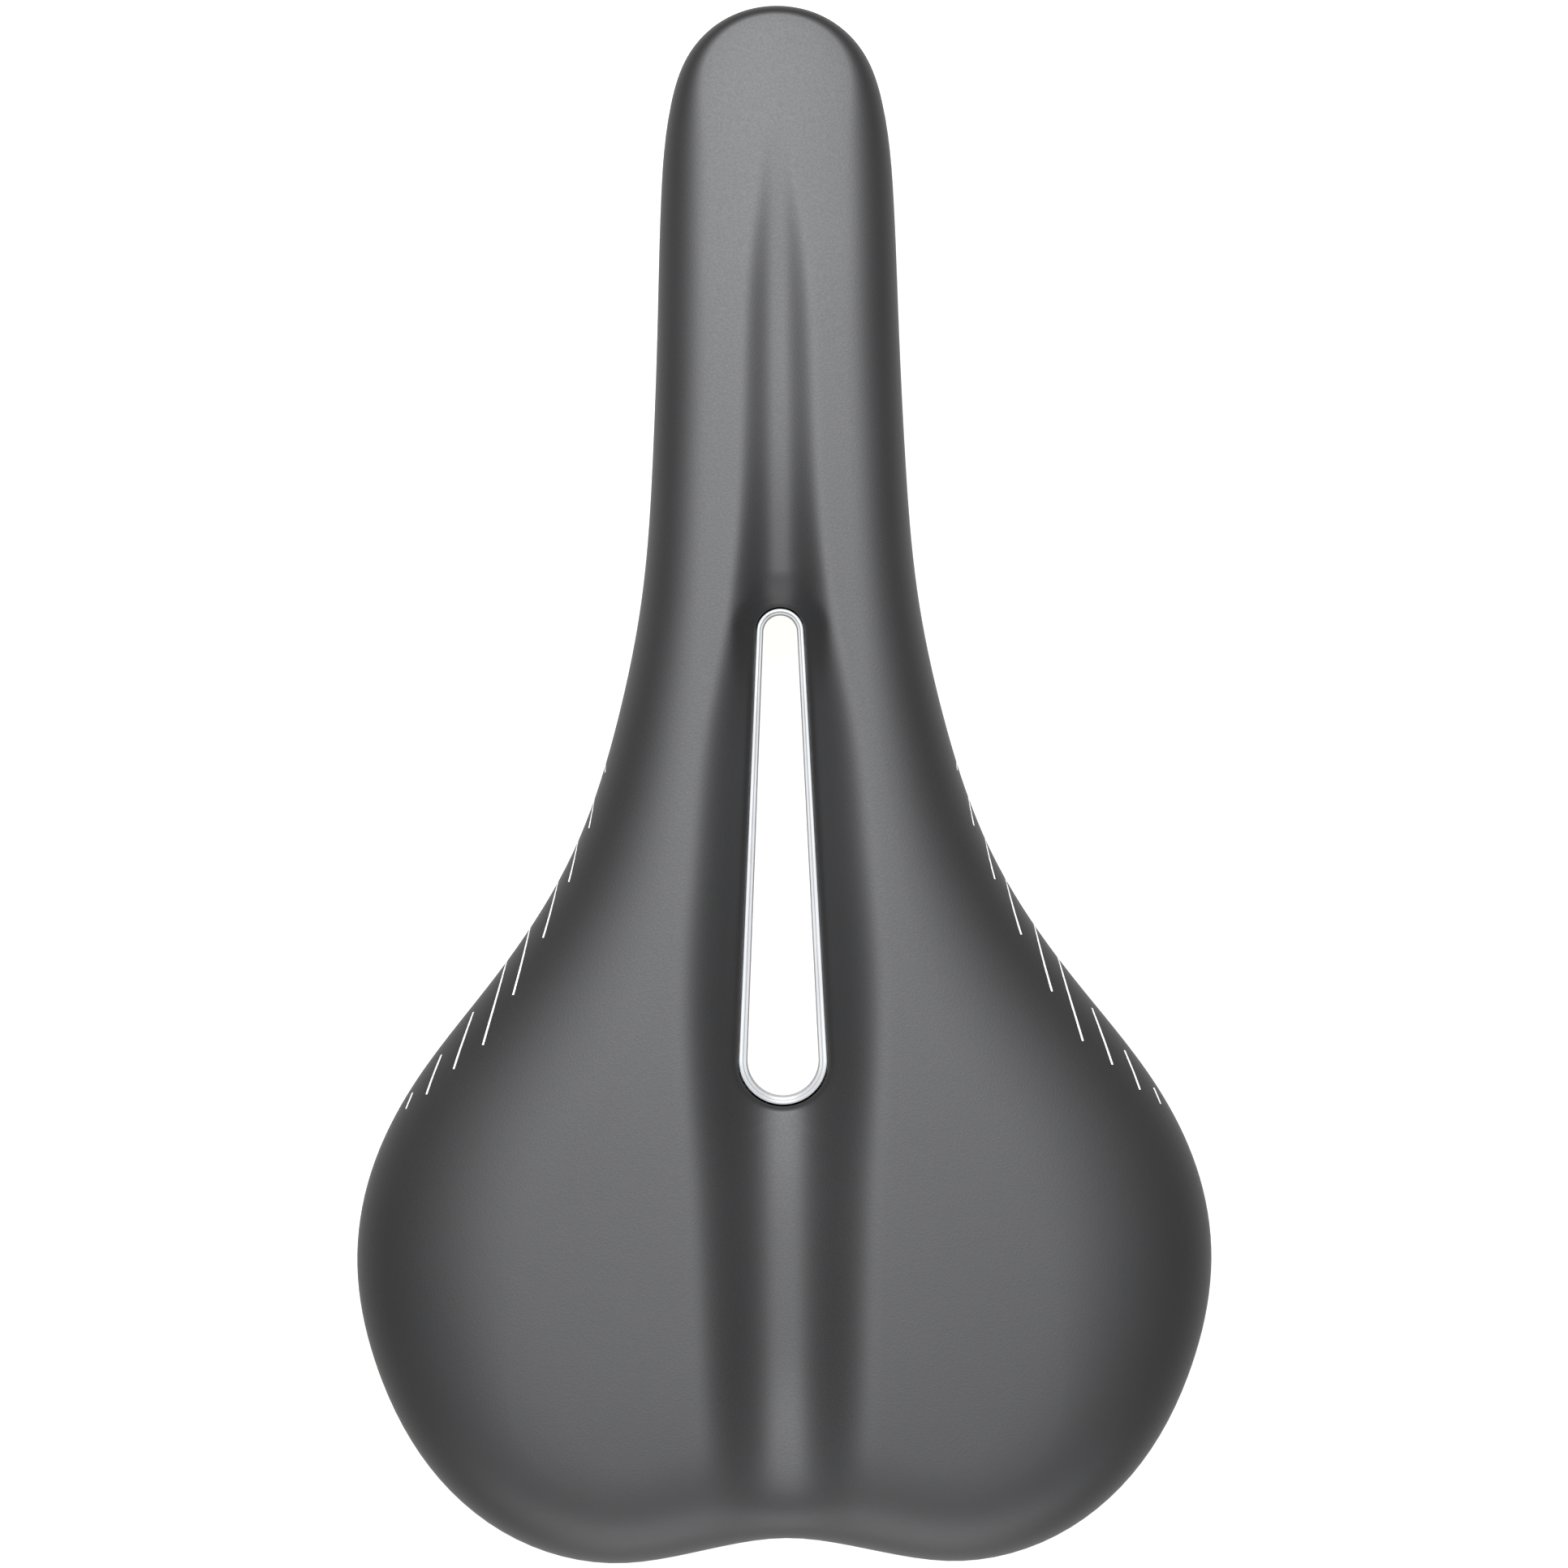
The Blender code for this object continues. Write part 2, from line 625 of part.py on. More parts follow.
def make_padding():
    """Foam between the cover and the base."""
    hole = COVER + FOAM_GAP
    top = [seat_section(station, hole) + skirt_section(station, (0.35, 0.7)) for station in STATIONS]
    top = offset_grid(top, -(COVER + GAP))
    bottom = offset_grid([shell_section(station, hole) for station in STATIONS], FOAM_GAP)
    mesh = bmesh.new()
    add_grid(mesh, top)
    add_grid(mesh, bottom, flip=True)
    add_grid(mesh, [(upper[-1], lower[-1]) for upper, lower in zip(top, bottom)])
    first = STATIONS.index(CUTOUT_STATIONS[0])
    walls = range(first, first + len(CUTOUT_STATIONS))
    add_grid(mesh, [(bottom[i][0], top[i][0]) for i in walls])
    weld(mesh)
    snap_to_middle(mesh)
    padding = to_object("padding", mesh, GREY_FOAM)
    add_mirror(padding)
    return padding


def rib(name, path, width, bottom=None):
    """Stiffening rib: its top lies inside the base's wall, its foot is level or follows it."""
    middles = []
    for (x0, b0), (x1, b1) in zip(path, path[1:]):
        count = max(1, round(math.dist((x0, b0), (x1, b1)) / RIB_STEP))
        middles += [np.array((x0 + (x1 - x0) * i / count, b0 + (b1 - b0) * i / count))
                    for i in range(count)]
    middles.append(np.array(path[-1], float))
    mesh = bmesh.new()
    rings = []
    for i, point in enumerate(middles):
        along = middles[min(i + 1, len(middles) - 1)] - middles[max(i - 1, 0)]
        across = np.array((along[1], -along[0])) / np.linalg.norm(along) * width / 2
        ring = []
        for side, level in ((1, 0), (-1, 0), (-1, 1), (1, 1)):
            spot = point + across * side
            top = shell_height(*spot) - SHELL / 2
            foot = shell_height(*point) - SHELL - RIB_HEIGHT if bottom is None else bottom
            ring.append(lift(spot, top if level == 0 else foot))
        rings.append(ring)
    add_grid(mesh, [ring + ring[:1] for ring in rings])
    weld(mesh)
    ends = [edge for edge in mesh.edges if edge.is_boundary]
    bmesh.ops.holes_fill(mesh, edges=ends)
    bmesh.ops.recalc_face_normals(mesh, faces=mesh.faces)
    return to_object(name, mesh, BLACK_NYLON, CUTTERS)


def make_base_shell(sockets):
    """Nylon base with its opening, ribs, nose seat and screw bosses."""
    mesh = bmesh.new()
    add_grid(mesh, [shell_section(station, SHELL_HOLE) for station in STATIONS])
    weld(mesh)
    snap_to_middle(mesh)
    shell = to_object("base_shell", mesh, BLACK_NYLON)
    add_mirror(shell)
    add_thickness(shell, SHELL)
    added = [rib("nose_seat", NOSE_SEAT, NOSE_SEAT_WIDTH, RAIL_LOOP_Z + RAIL_RADIUS + GAP)]
    for side, sign in (("right", 1), ("left", -1)):
        path = [(sign * x, back) for x, back in LONG_RIB]
        added.append(rib(f"rib_long_{side}", path, RIB_WIDTH))
        path = [(sign * x, back) for x, back in WING_RIB]
        added.append(rib(f"rib_wing_{side}", path, RIB_WIDTH))
    for label, (x, back) in (("front", FRONT_CROSS_RIB), ("rear", REAR_CROSS_RIB)):
        added.append(rib(f"rib_across_{label}", [(-x, back), (x, back)], RIB_WIDTH))
    hole = SCREW_SHANK + GAP
    bosses, holes = [], []
    for _, y in CLIP_SCREWS:
        bosses.append((BOSS_RADIUS, CLIP_TOP + GAP, NOSE_BOSS_TOP, (0, y)))
        holes.append((hole, CLIP_TOP - 1, NOSE_HOLE_TOP, (0, y)))
    for x, y in sockets.values():
        inside = shell_height(abs(x), NOSE_TO_CLAMP - y) - SHELL / 2
        bosses.append((BOSS_RADIUS + 0.5, PLATE_TOP + GAP, inside, (x, y)))
        holes.append((hole, PLATE_TOP - 1, inside - 0.2, (x, y)))
    added.append(make_posts("bosses", bosses))
    for part in added:
        add_boolean(shell, part, "UNION")
    add_boolean(shell, make_posts("screw_holes", holes, 12))
    return shell


def make_liner():
    """Pale collar inside the cut-out, with a lip that hooks under the base."""
    rows = []
    for station in CUTOUT_STATIONS:
        turn = station.cutout_turn
        wall = LINER_FRONT_WALL + (LINER_REAR_WALL - LINER_FRONT_WALL) * min(max(turn - 1, 0), 1)
        edge = station.inner(0)
        top = seat_height(*edge) - CUTOUT_ROLL - LINER_DROP
        under = shell_height(*station.inner(LINER_LIP / 2)) - SHELL - LINER_GAP
        bottom = under - LINER_LIP_THICKNESS
        section = [(-GAP, top), (-GAP, under), (LINER_LIP, under), (LINER_LIP, bottom),
                   (-GAP - wall, bottom), (-GAP - wall, top), (-GAP, top)]
        rows.append([lift(station.inner(offset), height) for offset, height in section])
    mesh = bmesh.new()
    add_grid(mesh, rows)
    weld(mesh)
    snap_to_middle(mesh)
    liner = to_object("cutout_liner", mesh, PALE_PLASTIC)
    add_mirror(liner)
    return liner


# ---------------------------------------------------------------- rails and what holds them

def rounded_path(corners, radii, step=5.0):
    """Straight runs between corners, joined by arcs of the given radii."""
    points = [Vector(corners[0])]
    for before, corner, after, radius in zip(corners, corners[1:], corners[2:], radii):
        corner = Vector(corner)
        come = (corner - Vector(before)).normalized()
        leave = (Vector(after) - corner).normalized()
        turn = come.angle(leave)
        start = corner - come * radius * math.tan(turn / 2)
        centre = start + (leave - come * come.dot(leave)).normalized() * radius
        count = max(2, round(radius * turn / step))
        axis = come.cross(leave)
        for i in range(count + 1):
            points.append(centre + Matrix.Rotation(turn * i / count, 3, axis) @ (start - centre))
    points.append(Vector(corners[-1]))
    return points


def rail_path():
    """Right rear end, clamp zone, front bend, nose loop and back down the left side."""
    loop_start = (RAIL_LOOP_RADIUS, RAIL_LOOP_Y, RAIL_LOOP_Z)
    corners = [RAIL_END, RAIL_REAR_BEND, RAIL_FRONT_BEND, RAIL_SPREAD, RAIL_NECK, loop_start]
    right = rounded_path(corners, RAIL_BENDS)
    loop = [Vector((RAIL_LOOP_RADIUS * math.cos(a), RAIL_LOOP_Y + RAIL_LOOP_RADIUS * math.sin(a),
                    RAIL_LOOP_Z)) for a in np.linspace(0, math.pi, 11)[1:-1]]
    left = [Vector((-p.x, p.y, p.z)) for p in reversed(right)]
    return right + loop + left


def make_rails():
    rails = make_tube("rails", rail_path(), RAIL_RADIUS, SATIN_STEEL)
    shade_round(rails)
    return rails


def make_screw(name, at, neck, length):
    """Pan-head screw, head down, with a round drive recess."""
    tip = neck + length
    low = neck - SCREW_HEAD_HEIGHT
    drive = low + SCREW_DRIVE_DEPTH
    points = [(0, tip), (SCREW_TIP, tip), (SCREW_SHANK, tip - SCREW_POINT), (SCREW_SHANK, neck),
              (SCREW_HEAD, neck), (SCREW_HEAD, low + SCREW_ROUND), (SCREW_HEAD - SCREW_ROUND, low),
              (SCREW_DRIVE_MOUTH, low), (SCREW_DRIVE_FLOOR, drive), (0, drive)]
    screw = make_turned(name, points, BRIGHT_STEEL, steps=12)
    screw.location = (at[0] * MM, at[1] * MM, 0)
    shade_round(screw)
    return screw


def make_nose_clip():
    """Block under the nose that traps the rail loop against the base."""
    arc_middle = CLIP_FRONT - CLIP_HALF_WIDTH
    outline_points = [(CLIP_HALF_WIDTH * math.cos(a), arc_middle + CLIP_HALF_WIDTH * math.sin(a))
                      for a in np.linspace(0, math.pi, 13)]
    outline_points += [(-CLIP_HALF_WIDTH, CLIP_REAR), (CLIP_HALF_WIDTH, CLIP_REAR)]
    clip = make_plate("nose_clip", outline_points, CLIP_TOP - CLIP_BOTTOM, BLACK_NYLON)
    clip.location.z = (CLIP_TOP + CLIP_BOTTOM) / 2 * MM
    bpy.context.view_layer.update()
    clip = curve_to_mesh(clip)
    groove = make_tube("nose_clip_groove", rail_path(), RAIL_RADIUS + GAP, BLACK_NYLON, CUTTERS)
    add_boolean(clip, groove)
    head_top = CLIP_BOTTOM + SCREW_HEAD_HEIGHT
    add_boolean(clip, make_posts("clip_holes", [
        (SCREW_SHANK + GAP, CLIP_BOTTOM + 1, CLIP_TOP + 1, (0, y)) for _, y in CLIP_SCREWS], 12))
    add_boolean(clip, make_posts("clip_counterbores", [
        (SCREW_HEAD + GAP, CLIP_BOTTOM - 1, head_top + GAP, (0, y)) for _, y in CLIP_SCREWS]))
    for label, y in CLIP_SCREWS:
        make_screw(f"nose_clip_screw_{label}", (0, y), head_top, NOSE_SCREW_LENGTH)
    return clip


def rail_end_frame():
    """Rail end, its direction, level heading and sideways direction, right side."""
    end, before = Vector(RAIL_END), Vector(RAIL_REAR_BEND)
    direction = (end - before).normalized()
    heading = Vector((direction.x, direction.y, 0)).normalized()
    side = heading.cross(Vector((0, 0, 1)))
    return end, direction, heading, side


def socket_screw_places():
    """Plan places of the four socket screws, by name."""
    end, _, heading, side = rail_end_frame()
    places = {}
    for label, sign in (("inner", 1), ("outer", -1)):
        spot = end + heading * PLATE_OFFSET + side * SOCKET_SCREW_OFFSET * sign
        places[f"right_{label}"] = (spot.x, spot.y)
        places[f"left_{label}"] = (-spot.x, spot.y)
    return places


def make_socket():
    """Right rear socket: a plate under the base and a body that takes the rail end."""
    end, direction, heading, side = rail_end_frame()
    slope = direction.z / math.hypot(direction.x, direction.y)

    def level(run):
        return end.z + slope * run

    front = -SOCKET_DEPTH * math.cos(math.atan(slope))
    rise = SOCKET_HALF_HEIGHT * math.cos(math.atan(slope))
    shift = rise * slope
    inside_plate = PLATE_TOP - 1
    body = [(front + shift, level(front) - rise), (front - shift, level(front) + rise)]
    body += [(run, inside_plate) for run in SOCKET_TOP]
    body += SOCKET_HEEL
    socket = make_plate("rear_socket_right", body, SOCKET_WIDTH, BLACK_NYLON)
    turn = Matrix((heading, (0, 0, 1), side)).transposed().to_4x4()
    level_end = Vector((end.x, end.y, 0)) * MM
    socket.matrix_world = Matrix.Translation(level_end) @ turn
    bpy.context.view_layer.update()
    socket = curve_to_mesh(socket)
    mesh = bmesh.new()
    bmesh.ops.create_cube(mesh, size=1)
    size = Matrix.Diagonal((PLATE_LENGTH * MM, PLATE_THICKNESS * MM, PLATE_WIDTH * MM, 1))
    middle = Vector((PLATE_OFFSET, PLATE_TOP - PLATE_THICKNESS / 2, 0)) * MM
    bmesh.ops.transform(mesh, matrix=Matrix.Translation(middle) @ size, verts=mesh.verts)
    bmesh.ops.recalc_face_normals(mesh, faces=mesh.faces)
    plate = to_object("socket_plate", mesh, BLACK_NYLON, CUTTERS)
    plate.matrix_world = Matrix.Translation(level_end) @ turn
    add_boolean(socket, plate, "UNION")
    wide = BUSHING_RADIUS + GAP
    bore = make_turned("socket_bore", [(0, BORE_STOP), (wide, BORE_STOP), (wide, -BORE_LENGTH),
                                       (0, -BORE_LENGTH)], BLACK_NYLON, CUTTERS)
    bore.matrix_world = end_matrix()
    add_boolean(socket, bore)
    places = [place for label, place in socket_screw_places().items() if label.startswith("right")]
    add_boolean(socket, make_posts("plate_holes", [
        (SCREW_SHANK + GAP, PLATE_TOP - 8, PLATE_TOP + 1, place) for place in places], 12))
    return socket


def end_matrix():
    """Local Z along the rail end, origin at the end's centre."""
    end, direction, _, _ = rail_end_frame()
    turn = Vector((0, 0, 1)).rotation_difference(direction).to_matrix().to_4x4()
    return Matrix.Translation(end * MM) @ turn


def make_bushing():
    """Rubber sleeve on the right rail end, with a collar outside the socket."""
    inner = RAIL_RADIUS / math.cos(math.pi / RAIL_SIDES) + GAP
    back, neck = -BUSHING_SETBACK, -SOCKET_DEPTH - GAP
    front = neck - BUSHING_COLLAR_LENGTH
    points = [(inner, back), (BUSHING_RADIUS, back), (BUSHING_RADIUS, neck), (BUSHING_COLLAR, neck),
              (BUSHING_COLLAR, front), (inner, front), (inner, back)]
    bushing = make_turned("rail_bushing_right", points, BLACK_RUBBER)
    bushing.matrix_world = end_matrix()
    return bushing


# ---------------------------------------------------------------- staples

def staple_frames():
    """Place and axes of every staple on the flange: along the rim, up the flange, outwards."""
    frames = {}
    depth = SHELL + FLANGE_GAP + COVER
    for number, back in enumerate(STAPLES, 1):
        station = Station("flank", 0.0, outline_share(back))
        _, tilt = below_shell(station, SHELL_INSET, depth)
        inset = SHELL_INSET + STAPLE_RISE * math.cos(tilt)
        spot, tilt = below_shell(station, inset, depth + STAPLE_GAP)
        inward = lift(station.at(1), 0) - lift(station.at(0), 0)
        inward = Vector(inward)
        out = (inward * math.sin(tilt) - Vector((0, 0, 1)) * math.cos(tilt)).normalized()
        ahead = inward.cross(Vector((0, 0, 1))).normalized()
        frames[number] = (Vector(spot), ahead, out)
    return frames


def staple_outline():
    """Wire bent square: crown across the top, two legs down."""
    half, wire = STAPLE_WIDTH / 2, STAPLE_WIRE
    return [(-half, wire), (half, wire), (half, -STAPLE_LEG), (half - wire, -STAPLE_LEG),
            (half - wire, 0), (-half + wire, 0), (-half + wire, -STAPLE_LEG), (-half, -STAPLE_LEG)]


def make_staples(cover, shell):
    """Staples along both flanks, with their slots in the cover's flange and in the base."""
    slots = bmesh.new()
    for number, (spot, ahead, out) in staple_frames().items():
        turn = Matrix((ahead, out, ahead.cross(out))).transposed().to_4x4()
        place = Matrix.Translation(spot * MM) @ turn
        staple = make_plate(f"staple_right_{number:02d}", staple_outline(), STAPLE_BREADTH,
                            BRIGHT_STEEL)
        staple.matrix_world = place
        bpy.context.view_layer.update()
        staple = curve_to_mesh(staple)
        mirrored_copy(staple, f"staple_left_{number:02d}")
        for end in (-1, 1):
            leg = end * (STAPLE_WIDTH - STAPLE_WIRE) / 2
            deep = SLOT_TOP + STAPLE_LEG + GAP
            size = Matrix.Diagonal(((STAPLE_WIRE + 2 * GAP) * MM, deep * MM,
                                    (STAPLE_BREADTH + 2 * GAP) * MM, 1))
            middle = Matrix.Translation(Vector((leg, SLOT_TOP - deep / 2, 0)) * MM)
            for sign in (1, -1):
                side = Matrix.Scale(sign, 4, (1, 0, 0))
                bmesh.ops.create_cube(slots, size=1, matrix=side @ place @ middle @ size)
    bmesh.ops.recalc_face_normals(slots, faces=slots.faces)
    cutter = to_object("staple_slots", slots, BLACK_NYLON, CUTTERS)
    add_boolean(cover, cutter)
    add_boolean(shell, cutter)


def make_saddle():
    places = socket_screw_places()
    cover = make_cover()
    make_padding()
    shell = make_base_shell(places)
    make_liner()
    make_rails()
    make_nose_clip()
    socket, bushing = make_socket(), make_bushing()
    mirrored_copy(socket, "rear_socket_left")
    mirrored_copy(bushing, "rail_bushing_left")
    for label, place in places.items():
        make_screw(f"rear_socket_screw_{label}", place, PLATE_TOP - PLATE_THICKNESS - GAP,
                   SOCKET_SCREW_LENGTH)
    make_staples(cover, shell)


make_saddle()
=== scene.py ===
"""Looks of the bicycle saddle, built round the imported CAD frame.

Origin: middle of the rails' clamp zone. +X is the rider's right, +Y points to the nose, +Z is
up. Lengths are in millimetres and become metres when a mesh is made. "Back" is the distance
behind the nose tip, and "inset" is the distance in from the plan outline.
"""

import math

import bmesh
import bpy
import numpy as np
from mathutils import Matrix, Vector


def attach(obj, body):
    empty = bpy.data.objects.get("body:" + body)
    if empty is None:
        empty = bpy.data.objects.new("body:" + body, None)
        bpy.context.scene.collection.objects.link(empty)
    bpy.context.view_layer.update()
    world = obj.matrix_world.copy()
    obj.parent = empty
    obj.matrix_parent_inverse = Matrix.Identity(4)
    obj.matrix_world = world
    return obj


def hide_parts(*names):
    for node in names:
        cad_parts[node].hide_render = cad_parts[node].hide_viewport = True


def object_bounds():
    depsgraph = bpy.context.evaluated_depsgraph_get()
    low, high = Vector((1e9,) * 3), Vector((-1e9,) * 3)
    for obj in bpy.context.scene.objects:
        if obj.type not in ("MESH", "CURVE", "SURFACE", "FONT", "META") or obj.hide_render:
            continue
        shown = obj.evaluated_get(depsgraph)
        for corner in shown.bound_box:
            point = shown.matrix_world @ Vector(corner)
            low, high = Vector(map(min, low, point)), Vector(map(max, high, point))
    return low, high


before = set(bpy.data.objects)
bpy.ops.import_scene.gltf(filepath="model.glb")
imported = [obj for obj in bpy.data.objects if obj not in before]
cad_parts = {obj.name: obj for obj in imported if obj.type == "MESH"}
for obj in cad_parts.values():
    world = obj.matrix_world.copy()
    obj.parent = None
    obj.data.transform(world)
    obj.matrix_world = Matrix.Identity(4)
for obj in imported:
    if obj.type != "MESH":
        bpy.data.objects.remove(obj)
CAD_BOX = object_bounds()

MM = 0.001
GAP = 0.3                     # clearance between touching pieces
OVERRUN = 1.0                 # how far a cutter or a joined solid runs past the face it meets
DETAIL = 5                    # fine rows for each row of the CAD mesh

# Plan view of the right half: (sideways, back) from the nose tip round to the tail centre.
NOSE_TO_CLAMP = 152.0
OUTLINE = [(0, 0), (9.3, 2.4), (15.4, 8.2), (18.7, 17), (20.6, 34), (21.4, 57), (22.4, 80),
           (24.4, 103.5), (29.1, 126.5), (37.1, 149.5), (51.9, 172.5), (65.4, 190), (73.7, 207),
           (75.9, 221.5), (72.0, 241.6), (62.3, 259), (48.4, 270.4), (29.8, 275), (15.6, 273),
           (0, 270.8)]

# The cut-out: two circles of different radius, joined by their tangent lines.
CUTOUT_FRONT, CUTOUT_FRONT_RADIUS = 110.6, 4.4
CUTOUT_REAR, CUTOUT_REAR_RADIUS = 186.4, 8.06
CUTOUT_ROLL = 1.2             # radius of the cover's rolled edge at the cut-out

# Mesh zones along the saddle: name, where on the flank each one ends (back), rows of faces.
ZONES = (("nose", 17, 5), ("front", 103, 6), ("cutout_front", 112, 3), ("cutout_side", 186, 6),
         ("cutout_rear", 202, 4), ("rear", 243, 4), ("tail", None, 6))
# Where on the middle line (back) the sections of the rounded nose and tail start.
NOSE_FAN, NOSE_FAN_END = 18, 26
TAIL_FAN, TAIL_FAN_END = 238, 254

# Heights and widths along the saddle: (back, value).
SEAT_TOP = [(0, 41), (12, 41.9), (30, 42.75), (50, 43.3), (70, 43.5), (100, 43.6), (130, 44),
            (150, 44.6), (190, 46.3), (230, 48.4), (255, 49.6), (275, 50)]
CROWN = [(0, 0.003), (100, 0.002), (150, 0.0012), (200, 0.0008), (275, 0.0007)]
EDGE_WIDTH = [(0, 2), (8, 3.6), (20, 7.2), (35, 8.8), (60, 9.6), (100, 11), (130, 14.2), (150, 18),
              (190, 28.5), (215, 30), (240, 25), (250, 21), (262, 16), (275, 12)]
EDGE_DROP = [(0, 6), (30, 8), (60, 9.2), (100, 11.5), (150, 14), (200, 16), (240, 15.5), (275, 14)]
EDGE_POWER = [(0, 2.8), (25, 2.5), (90, 2.5), (150, 2.3), (200, 2.2), (275, 2.2)]
SKIRT_END = [(0, 15), (25, 13), (60, 12.5), (100, 15), (150, 18.2), (200, 20.3), (240, 23.3),
             (275, 28)]
SKIRT_TUCK = 1.5
SKIRT_LIFT = 1.6              # the side wall stops this far above the skirt's end

# The groove along the middle, deepest at the cut-out: half width and depth.
GROOVE_WIDTH = [(24, 3), (33, 4.4), (43, 6), (58, 7.2), (90, 8.5), (104, 9.9), (115, 12), (130, 15.5),
                (150, 18), (170, 19.8), (190, 19.6), (210, 18.3), (245, 17), (275, 16)]
GROOVE_DEPTH = [(22, 0), (30, 0.2), (50, 1.1), (90, 2.6), (105, 4.4), (120, 5.6), (150, 7.2),
                (175, 8.8), (190, 8.5), (205, 7.1), (220, 6.5), (232, 6.3), (242, 6), (250, 5.3),
                (256, 4.5), (262, 3.2), (268, 1.5), (275, 0)]
LIP_DROP, LIP_REACH, LIP_END = 2.4, 4.6, (108, 124)   # deeper rolled lip round the cut-out's front

# Layers.
COVER, SHELL = 1.0, 2.0
FOAM = [(0, 11), (100, 12), (200, 14), (275, 13)]
FOAM_GAP = 0.45               # clearance round the foam at the base and at the cut-out
SHELL_INSET = 4.0             # base rim inside the outline
SHELL_RISE = 3.3              # base rim above the skirt's end
SHELL_EDGE_WIDTH = [(0, 6), (60, 6), (120, 8), (200, 14), (275, 12)]
SHELL_EDGE_POWER = 2.5
SHELL_HOLE = 0.2              # base opening outside the cut-out
LONG_RIB = [(10.5, 98), (13, 145), (15, 206)]
WING_RIB = [(14.8, 186), (58, 206)]
FRONT_CROSS_RIB, REAR_CROSS_RIB = (10.2, 99.5), (14.7, 204)
RIB_WIDTH, RIB_HEIGHT, RIB_STEP, RIB_CHAMFER = 2.0, 5.0, 3, 0.35
NOSE_SEAT, NOSE_SEAT_WIDTH = [(0, 24), (0, 58)], 19.0
FLANGE, FLANGE_GAP = 7.0, 0.9  # cover turned up inside the rim, and its room there
TURN_RISE, TURN_INSET, TURN_RADIUS = 0.1, 0.6, 1.3   # the cover's turn under the rim
FLANGE_PUCKER, PUCKER_PITCH = 0.25, 4.2
LINER_FRONT_WALL, LINER_REAR_WALL = 1.1, 1.45
LINER_LIP, LINER_LIP_THICKNESS = 3.0, 1.2
LINER_DROP, LINER_GAP = 0.3, 0.4   # below the cover's rolled edge, and below the base
LINER_LIP_EDGE = 0.3
# Its lower inner corner (out from the inner face, up), its stepped top (out from the inner face,
# share of the wall, down) and its upper outer corner (in from the outer face, down).
LINER_FOOT = ((0.4, 0), (0.1, 0.15), (0, 0.5))
LINER_CREST = ((0, 0, 2.2), (0.05, 0, 1.0), (0.2, 0, 0.55), (0, 0.45, 0.42), (0, 0.5, 0.12),
               (0, 0.62, 0))
LINER_SHOULDER = ((0.2, 0), (0.06, 0.06), (0, 0.2))

# Rails.
RAIL_RADIUS = 3.5
RAIL_HALF_SPACING = 22.0
RAIL_LOOP_Y, RAIL_LOOP_Z, RAIL_LOOP_RADIUS = 117.0, 16.5, 8.0
RAIL_NECK = (8.0, 104.0, 16.5)
RAIL_SPREAD = (11.5, 72.0, 8.0)
RAIL_FRONT_BEND = (RAIL_HALF_SPACING, 47.5, 0.0)
RAIL_REAR_BEND = (RAIL_HALF_SPACING, -46.0, 0.0)
RAIL_END = (33.0, -92.0, 18.0)
RAIL_BENDS = (25.0, 30.0, 30.0, 24.0)
TICK_PITCH, TICK_COUNT, TICK_WIDTH = 5.0, 11, 0.35
TICK_SUNK, TICK_PROUD = 0.1, 0.02
TICK_REACH, LONG_TICK_REACH, LONG_TICK_EVERY = 28, 50, 5   # degrees each way round the rail

# Nose clip and its screws.
CLIP_HALF_WIDTH, CLIP_FRONT, CLIP_REAR = 11.5, 133.0, 93.0
CLIP_BOTTOM, CLIP_TOP = 9.5, 16.5
CLIP_SCREWS = (("front", 116.0), ("rear", 98.5))
CLIP_EDGE = 0.7

# Rear sockets, measured from the rail end along its heading.
SOCKET_WIDTH = 15.0
PLATE_LENGTH, PLATE_WIDTH, PLATE_THICKNESS, PLATE_TOP = 22.0, 31.0, 3.5, 28.4
PLATE_OFFSET = -4.0
PLATE_EDGE, SOCKET_EDGE = 1.2, 1.0
PLATE_HOLE_DEPTH = 8.0
SOCKET_SCREW_OFFSET = 11.3
SOCKET_DEPTH, SOCKET_HALF_HEIGHT = 20.0, 7.6
SOCKET_TOP = (-13.0, 6.0)      # where the body meets the plate, front and back
SOCKET_HEEL = ((8.0, 16.5), (3.0, 9.9))  # lower back corners: (along the heading, height)
BORE_STOP, BORE_LENGTH = 1.8, 30.0
BUSHING_RADIUS, BUSHING_COLLAR, BUSHING_COLLAR_LENGTH = 5.3, 6.6, 1.6
BUSHING_SETBACK = 1.0         # sleeve's end before the rail's end
BUSHING_EDGE, BUSHING_ROUND = 0.3, 0.5

# Screws.
SCREW_HEAD, SCREW_HEAD_HEIGHT = 3.2, 2.0
SCREW_SHANK, NOSE_SCREW_LENGTH, SOCKET_SCREW_LENGTH = 1.5, 10.0, 7.4
SCREW_DRIVE, SCREW_DRIVE_DEPTH = 1.25, 1.3   # half the hexagon's width across flats
SCREW_TIP, SCREW_POINT, SCREW_ROUND, SCREW_EDGE = 0.5, 1.4, 0.9, 0.1
THREAD_PITCH, THREAD_DEPTH = 0.8, 0.28
BOSS_RADIUS, NOSE_BOSS_TOP, NOSE_HOLE_TOP = 3.5, 24.0, 22.5
SOCKET_BOSS_RADIUS, SOCKET_HOLE_ROOF = 4.0, 0.2

# Staples along the rim: distances back of their middles.
STAPLE_WIDTH, STAPLE_WIRE, STAPLE_BREADTH, STAPLE_LEG = 9.0, 0.6, 1.0, 3.2
STAPLE_BEND, STAPLE_POINT, STAPLE_TIP, STAPLE_CORNER, STAPLE_EDGE = 0.55, 0.5, 0.3, 0.15, 0.12
STAPLE_RISE = 3.6             # up the flange from the rim
STAPLE_GAP = 0.7              # room for the flange's curve under a straight crown
STAPLES = (21, 56, 78, 100, 122, 144, 165, 184, 203, 221, 240, 258)

